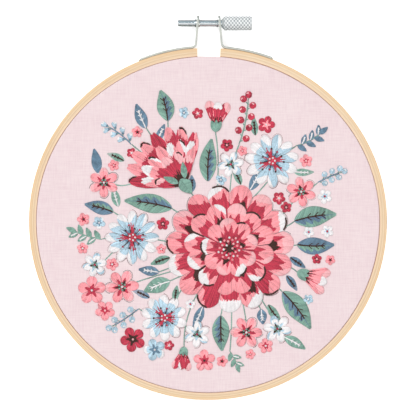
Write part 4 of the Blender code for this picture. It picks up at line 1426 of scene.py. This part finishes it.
def settle_blossom(place, radius, slack):
    """Keeps a blossom if it fits here and touches, or nearly touches, what is there."""
    if math.dist(place, SPRAY_MIDDLE) < FULL_REACH and -0.3 < room(*place) - radius < slack:
        blossoms.append((*place, radius))
        spots.append((*place, radius))


for radius in BLOSSOM_SIZES:
    for attempt in range(BLOSSOM_TRIES):
        swing, reach = rng.uniform(0, math.tau), FULL_REACH * math.sqrt(rng.random())
        settle_blossom(out_from(SPRAY_MIDDLE, reach, swing), radius, 1.2)
for x, y, radius in blossoms[:]:
    for swing in rng.uniform(0, math.tau, 5):
        smaller = rng.uniform(3.0, 4.2)
        settle_blossom(out_from((x, y), radius + smaller, swing), smaller, 1.0)
print("gaps: %d blossoms" % len(blossoms))

# %% Small blossoms
BLOSSOM_COLOURS = (  # of the foot, the body and the knot
    (CRIMSON, SALMON, WHITE), (BROWN, CRIMSON, BLUSH), (CRIMSON, SALMON, BROWN),
    (SLATE, SKY, WHITE), (CRIMSON, SALMON, BLUSH), (SALMON, CRIMSON, WHITE), (SKY, WHITE, CRIMSON),
)
stitches, knots = [], []
for number, (x, y, radius) in enumerate(blossoms):
    base, body, middle = BLOSSOM_COLOURS[number % len(BLOSSOM_COLOURS)]
    rim = WHITE if body == SKY else body
    turned = rng.uniform(0, math.tau)
    for leaf in range(5):
        toward = turned + leaf * math.tau / 5
        shape = petal((x, y), toward, math.pi / 5, 0.12 * radius, radius, 0.66, 0.7, 0.9)
        light = some_crescent(0.36) if leaf % 2 else None
        stitches += fill(shape, shading(base, body, rim, points_up(0.22, 0.6, 1), light), 0.1)
    knots.append((x, y, 1.3, 0.3, middle))
sew("sewn_small_blossoms", stitches, knots)

# %% Small leaves where there is room
gap_leaves = []
for flower in flowers:
    for number in range(int(2 + 0.3 * flower["radius"])):
        swing = rng.uniform(0, math.tau)
        start = out_from((flower["x"], flower["y"]), flower["radius"] - 1.5, swing)
        toward, bend = math.degrees(swing) + rng.uniform(-35, 35), rng.uniform(-22, 22)
        for length in (12.5, 10, 8):  # the longest that fits is kept
            row = leaf_sizes(start, toward, length, 0.4 * length, bend)
            row["colour"] = (GREEN, GREEN, SLATE)[number % 3]
            rib = bent(start, toward, length, bend, 20)
            if all(room(*rib[k][:2]) > row["width"] / 2 * math.sin(math.pi * k / 20) + 0.3
                   for k in (11, 15, 20)):
                gap_leaves.append(row)
                spots += leaf_spots(row)
                break
stitches = []
for number, row in enumerate(gap_leaves):
    stitches += leaf_stitches(row, BEHIND + 0.05, row["colour"], SLATE if number % 4 == 1 else None,
                              (BROWN, None, WHITE, BROWN, None)[number % 5])
sew("sewn_small_leaves", stitches)
print("gaps: %d leaves" % len(gap_leaves))

# %% [markdown]
# ## The leaves
#
# Twelve larger leaves, where the solids have them. The longer ones are in two tones with a
# dark vein, and the shorter ones in one tone with a white vein.

# %% Leaves
for name, sizes in motifs(LEAF_COLUMNS, LEAVES):
    body = sizes["colour"]
    small = sizes["length"] < 15
    other = None if small else SLATE if body == GREEN else GREEN
    sew("sewn_" + name, leaf_stitches(sizes, 0.08, body, other, WHITE if small else BROWN),
        nodes=[name])

# %% [markdown]
# ## The dahlia
#
# The largest flower has three tiers of petals round a dark middle. Each tier starts under the
# next one, so the outer tier is sewn first. No two petals are alike: their points, light
# crescents and the dark line round the tip of some all come out a little different.

# %% Dahlia
TIER_COLUMNS = ("near", "far", "petals", "offset", "notch", "lift", "low", "high", "thick", "lined")
TIERS = {
    "outer": (0.45, 1.0, 15, 0.0, 0.86, 0.18, 0.6, 0.94, 0.3, 3),
    "middle": (0.23, 0.73, 12, 0.5, 0.84, 0.32, 0.57, 0.92, 0.34, 3),
    "inner": (0.1, 0.46, 9, 0.2, 0.82, 0.46, 0.42, 0.9, 0.36, 3),
}
for name, sizes in motifs(BLOOM_COLUMNS, DAHLIA):
    centre, radius = (sizes["x"], sizes["y"]), sizes["radius"]
    stitches, knots = [], []
    for tier, row in rows(TIER_COLUMNS, TIERS):
        for number in range(row["petals"]):
            toward = math.radians(sizes["turn"]) + (number + row["offset"]) * math.tau / row["petals"]
            sway, reach = 0.0, 1.0
            if tier != "outer":
                sway, reach = rng.uniform(-0.05, 0.05), rng.uniform(0.93, 1.03)
            shape = petal(centre, toward + sway, math.pi / row["petals"], row["near"] * radius,
                          row["far"] * radius * reach, row["notch"])
            foot = points_up(row["low"] * rng.uniform(0.85, 1.1), row["high"] * rng.uniform(0.8, 1.05), 2)
            body, rim = ((SALMON, WHITE), (SALMON, BLUSH), (CRIMSON, SALMON), (SALMON, WHITE),
                         (SALMON, None))[int(rng.integers(5))]
            deep = points_up(0.75 * row["low"], row["low"] + 0.14, 1) if number % 3 == 0 else None
            light = some_crescent(row["thick"] * (1.5 if body == CRIMSON else 1.0))
            stitches += fill(shape, shading(CRIMSON, body, rim, foot, light, deep), row["lift"])
            if number % row["lined"] == 1:
                side = (-1, 1)[int(rng.integers(2))]
                line = [shape(0.985 + 0.02 * abs(t), side * t)
                        for t in np.linspace(-0.95, rng.uniform(-0.1, 0.5), 11)]
                stitches += stem(line, row["lift"] + 0.1, BROWN, 0.85)
    for number in range(9):
        toward = number * math.tau / 9
        stitches += fill(petal(centre, toward, math.pi / 9, 0.3, 0.19 * radius, 0.8),
                         shading(BROWN, CRIMSON, None, points_up(0.3, 0.8, 1)), 0.58)
    for number in range(26):
        reach, swing = radius * (0.04 + 0.15 * math.sqrt(number / 26)), number * 2.4
        knots.append((*out_from(centre, reach, swing), 1.4, 0.68, (BLUSH, WHITE, SALMON)[number % 3]))
    sew("sewn_dahlia", stitches, knots, [name])

# %% [markdown]
# ## The carnation
#
# Seen from the side, a carnation is a loose fan of frilled petals over a green cup. Its
# petals bulge and lap over each other, the outer ones are shorter, and the frill is a
# saw-tooth in the reach of each petal, so that neighbouring lanes end unevenly.

# %% Carnation
FRILL_COLUMNS = ("near", "far", "petals", "lift", "body", "rim", "thick")
FRILLS = {
    "back": (0.4, 1.0, 8, 0.18, CRIMSON, SALMON, 0.34),
    "middle": (0.2, 0.78, 7, 0.34, SALMON, WHITE, 0.36),
    "front": (0.08, 0.56, 5, 0.5, CRIMSON, BLUSH, 0.36),
}


def frilled(shape, teeth, depth):
    """A petal whose rim is cut into teeth."""
    def place(s, t):
        tooth = abs((t * teeth) % 1.0 - 0.5) * 2
        return shape(s * (1 - depth * tooth), t)
    return place


for name, sizes in motifs(FAN_COLUMNS, CARNATION):
    centre, radius, spread = (sizes["x"], sizes["y"]), sizes["radius"], math.radians(sizes["spread"])
    stitches = []
    for frill, row in rows(FRILL_COLUMNS, FRILLS):
        for number in range(row["petals"]):
            aside = (2 * number + 1) / row["petals"] - 1
            toward = math.radians(sizes["toward"]) + aside * spread * 0.94 + rng.uniform(-0.03, 0.03)
            reach = radius * row["far"] * (1 - 0.14 * aside ** 2 + rng.uniform(-0.05, 0.04))
            near = row["near"] * radius * (1 - 0.35 * aside ** 2)
            bulging = petal(centre, toward, 1.25 * spread / row["petals"], near, reach,
                            0.84, 0.8, 1.0, 0.42)
            shape = frilled(bulging, (1.5, 2.5, 3.5)[number % 3], rng.uniform(0.04, 0.09))
            rim = None if number % 4 == 3 else row["rim"]
            foot = points_up(0.42, rng.uniform(0.6, 0.9), 2)
            bands = shading(CRIMSON, row["body"], rim, foot, some_crescent(row["thick"]),
                            points_up(0.3, 0.6, 2))
            stitches += fill(shape, bands, row["lift"] + 0.03 * (number % 2))
            if number % 3 == 1:
                line = [shape(0.99 + 0.02 * abs(t), t)
                        for t in np.linspace(-0.9, rng.uniform(0.0, 0.6), 9)]
                stitches += stem(line, row["lift"] + 0.12, BROWN, 0.7)
    for aside, turn_by, length, width in ((0, 180, 9, 6.5), (-30, 0, 8, 3.2), (30, 0, 8, 3.2)):
        toward = sizes["toward"] + aside
        cup = leaf_sizes(out_from(centre, 4.5, math.radians(toward)), toward + turn_by, length, width)
        stitches += leaf_stitches(cup, 0.64, GREEN, None, None)
    sew("sewn_carnation", stitches, (), [name])

# %% [markdown]
# ## Asters and star flowers
#
# The asters have long petals with slate feet and a white side, and thin dark stamens that
# end in knots. The small star flowers have six round petals about a ring of green knots.

# %% Asters
for name, sizes in motifs(BLOOM_COLUMNS, ASTERS):
    centre, radius, count = (sizes["x"], sizes["y"]), sizes["radius"], sizes["petals"]
    stitches, knots = [], []
    for number in range(count):
        toward = math.radians(sizes["turn"]) + number * math.tau / count
        shape = petal(centre, toward, math.pi / count, 0.16 * radius, radius, sizes["notch"], 0.7, 0.92)
        bands = shading(SLATE, SKY, WHITE, points_up(0.12, 0.42, 2), some_crescent(0.42))
        if number % 3 == 0:
            bands = shading(CRIMSON, SKY, WHITE, points_up(0.2, 0.62, 2), some_crescent(0.42))
        stitches += fill(shape, bands, 0.12 + 0.03 * (number % 2))
        reach, swing = radius * rng.uniform(0.34, 0.5), toward + math.pi / count
        tip = out_from(centre, reach, swing)
        stitches.append(stitch(centre, tip, 0.3, (CRIMSON, BROWN)[number % 2], 0.5))
        knots.append((*tip, 1.2, 0.3, (BROWN, CRIMSON)[number % 2]))
    stitches += fill(petal(centre, 0, math.pi, 0.1, 0.17 * radius, 1.0), shading(CRIMSON, CRIMSON), 0.36)
    knots += [(*out_from(centre, 1.5, a), 1.2, 0.46, WHITE)
              for a in np.arange(0, math.tau, math.tau / 5)]
    sew("sewn_" + name, stitches, knots, [name])

# %% Star flowers
for name, sizes in motifs(BLOOM_COLUMNS, STARS):
    centre, radius, count = (sizes["x"], sizes["y"]), sizes["radius"], sizes["petals"]
    body = sizes["colour"]
    base, middle = (CRIMSON, WHITE) if body == SALMON else (SKY, CRIMSON)
    stitches, knots = [], []
    for number in range(count):
        toward = math.radians(sizes["turn"]) + number * math.tau / count
        shape = petal(centre, toward, math.pi / count, 0.12 * radius, radius, sizes["notch"], 0.7, 0.9)
        light = some_crescent(0.3) if number % 2 else None
        deep = points_up(0.2, 0.42, 1) if number % 2 else None
        rim = BLUSH if body == SALMON else SKY
        bands = shading(base, body, rim, points_up(0.25, 0.62, 1), light, deep)
        stitches += fill(shape, bands, 0.14)
        knots.append((*out_from(centre, 0.2 * radius, toward + math.pi / count), 1.2, 0.32, GREEN))
    knots.append((*centre, 1.3, 0.38, middle))
    sew("sewn_" + name, stitches, knots, [name])

# %% [markdown]
# ## Tulips and sprigs
#
# A tulip is three petals of a fan, the middle one on top, over a small green cup. The sprigs
# are stems with leaflets, bells or berries on alternate sides and one at the tip, each a small
# patch in satin stitch.

# %% Tulips
for name, sizes in motifs(FAN_COLUMNS, TULIPS):
    centre, radius, body = (sizes["x"], sizes["y"]), sizes["radius"], sizes["colour"]
    toward, spread = math.radians(sizes["toward"]), math.radians(sizes["spread"])
    other = CRIMSON if body == SALMON else SALMON
    stitches = []
    for swing, lift in ((-0.66, 0.1), (0.66, 0.1), (0.0, 0.28)):
        shape = petal(centre, toward + swing * spread, spread / 2.6, 0.1 * radius,
                      radius * (1.0 if swing else 0.94), 0.84, 0.8)
        bands = shading(other if swing else CRIMSON, body, BLUSH if swing else WHITE,
                        points_up(0.3, 0.75, 2), some_crescent(0.3), points_up(0.3, 0.6, 2))
        stitches += fill(shape, bands, lift)
    for turn_by in (-26, 0, 26):
        cup = leaf_sizes(centre, sizes["toward"] + turn_by, 0.36 * radius, 0.16 * radius)
        stitches += leaf_stitches(cup, 0.42, GREEN, None, None)
    sew("sewn_" + name, stitches, (), [name])

# %% Sprigs
LOBE_WIDTHS = {"leaflet": 0.46, "berry": 0.56 * 1.12}  # shares of the length; a berry is plump


def berry(centre, lean, half):
    """A round patch whose lanes run along lean."""
    def place(s, t):
        chord = half * math.sqrt(max(1 - t * t, 0.0))
        along, over = chord * (2 * s - 1), half * t
        return (centre[0] + along * math.cos(lean) - over * math.sin(lean),
                centre[1] + along * math.sin(lean) + over * math.cos(lean))
    return place


def berry_bands(body, light):
    """Bands for a berry with a light spot on one side."""
    return lambda t: [(0.62, body), (0.86 if -0.1 < t < 0.7 else 0.62, light), (1.0, body)]


for name, sizes in motifs(SPRIG_COLUMNS, SPRIGS):
    steps = 2 * sizes["pairs"]
    rib = bent((sizes["x"], sizes["y"]), sizes["toward"], sizes["length"], sizes["bend"], 2 * steps)
    body, kind, reach = sizes["colour"], sizes["kind"], sizes["lobe"]
    stitches = stem([point[:2] for point in rib], 0.05, SLATE if body == SKY else GREEN, 0.55)
    for step in range(steps + 1):
        side = 0 if step == steps else 1 if step % 2 else -1
        x, y, heading = rib[min(2 * step + 1, 2 * steps)]
        lean = heading + side * math.radians(45)
        if kind == "leaflet":
            leaflet = leaf_sizes((x, y), math.degrees(lean), reach, LOBE_WIDTHS[kind] * reach, 10 * side)
            stitches += leaf_stitches(leaflet, 0.1, body, None, WHITE if step % 2 else None)
            continue
        stitches += stem([(x, y), out_from((x, y), 0.3 * reach, lean)], 0.08, GREEN, 0.45, 0.7)
        if kind == "bell":
            shape = petal((x, y), lean, 0.36, 0.28 * reach, reach, 0.86, 0.8)
            bands = shading(SLATE, body, WHITE, points_up(0.15, 0.5, 2), crescent(-1, 0.3, 0.3))
        else:
            shape = berry(out_from((x, y), 0.68 * reach, lean), lean, LOBE_WIDTHS[kind] * reach / 2)
            bands = berry_bands(body, WHITE if body == SKY else BLUSH)
        stitches += fill(shape, bands, 0.12)
    sew("sewn_" + name, stitches, (), [name])

# %% [markdown]
# ## Fine lines
#
# Such kits come printed with thin guide lines, and a single dark strand is often sewn along
# parts of them, a little outside a flower. From a step away they read as pencil.

# %% Fine lines
FINE_WIDTH = 0.22
lines = []
for row in flowers[1:] + flowers[:1]:  # the dahlia comes last
    for part in range(3):
        begin, turn_by = math.tau * (part + rng.uniform(0, 0.5)) / 3, rng.uniform(0.5, 1.3)
        path = []
        for swing in np.linspace(begin, begin + turn_by, int(row["radius"] * turn_by / 0.8) + 4):
            turned = swing - math.radians(row["turn"])
            lobe = abs(math.cos(row["petals"] * turned / 2)) ** 0.7
            reach = row["radius"] * (1 - (1 - row["notch"]) * (1 - lobe)) + 0.7
            path.append(out_from((row["x"], row["y"]), reach, swing))
        lines += [stitch(one, other, BEHIND + 0.06, BROWN, FINE_WIDTH, 0.0)
                  for one, other in zip(path, path[1:])]
sew("fine_lines", lines)

# %% [markdown]
# ## The back of the cloth
#
# Turned over, such a piece shows the same flowers again, only coarser: the needle goes back
# a little aslant under each stitch. So one stitch in four is laid again behind the cloth,
# thicker and somewhat out of line.

# %% Threads behind
BACK_WIDTH = 0.8
behind = []
thick_ones = [one for one in worked if one[4] > FINE_WIDTH]
for x, y, u, v, width, lift, colour in thick_ones[::4]:
    slip_x, slip_y = rng.uniform(-0.6, 0.6, 2)
    behind.append((x - slip_x, y - slip_y, u + slip_x, v + slip_y, BACK_WIDTH, 0.0, colour))
back = sew("threads_behind", behind)
for vert in back.data.vertices:
    vert.co.z = 2 * (CLOTH_FACE - CLOTH_THIN / 2) - vert.co.z
back.data.flip_normals()
print("threads behind: %d" % len(behind))

# %% [markdown]
# ## Sewn triangles
#
# The triangles of all the sewn pieces are added up and printed.

# %% Count the sewn triangles
print("sewn triangles:", sum(sewn_triangles.values()))
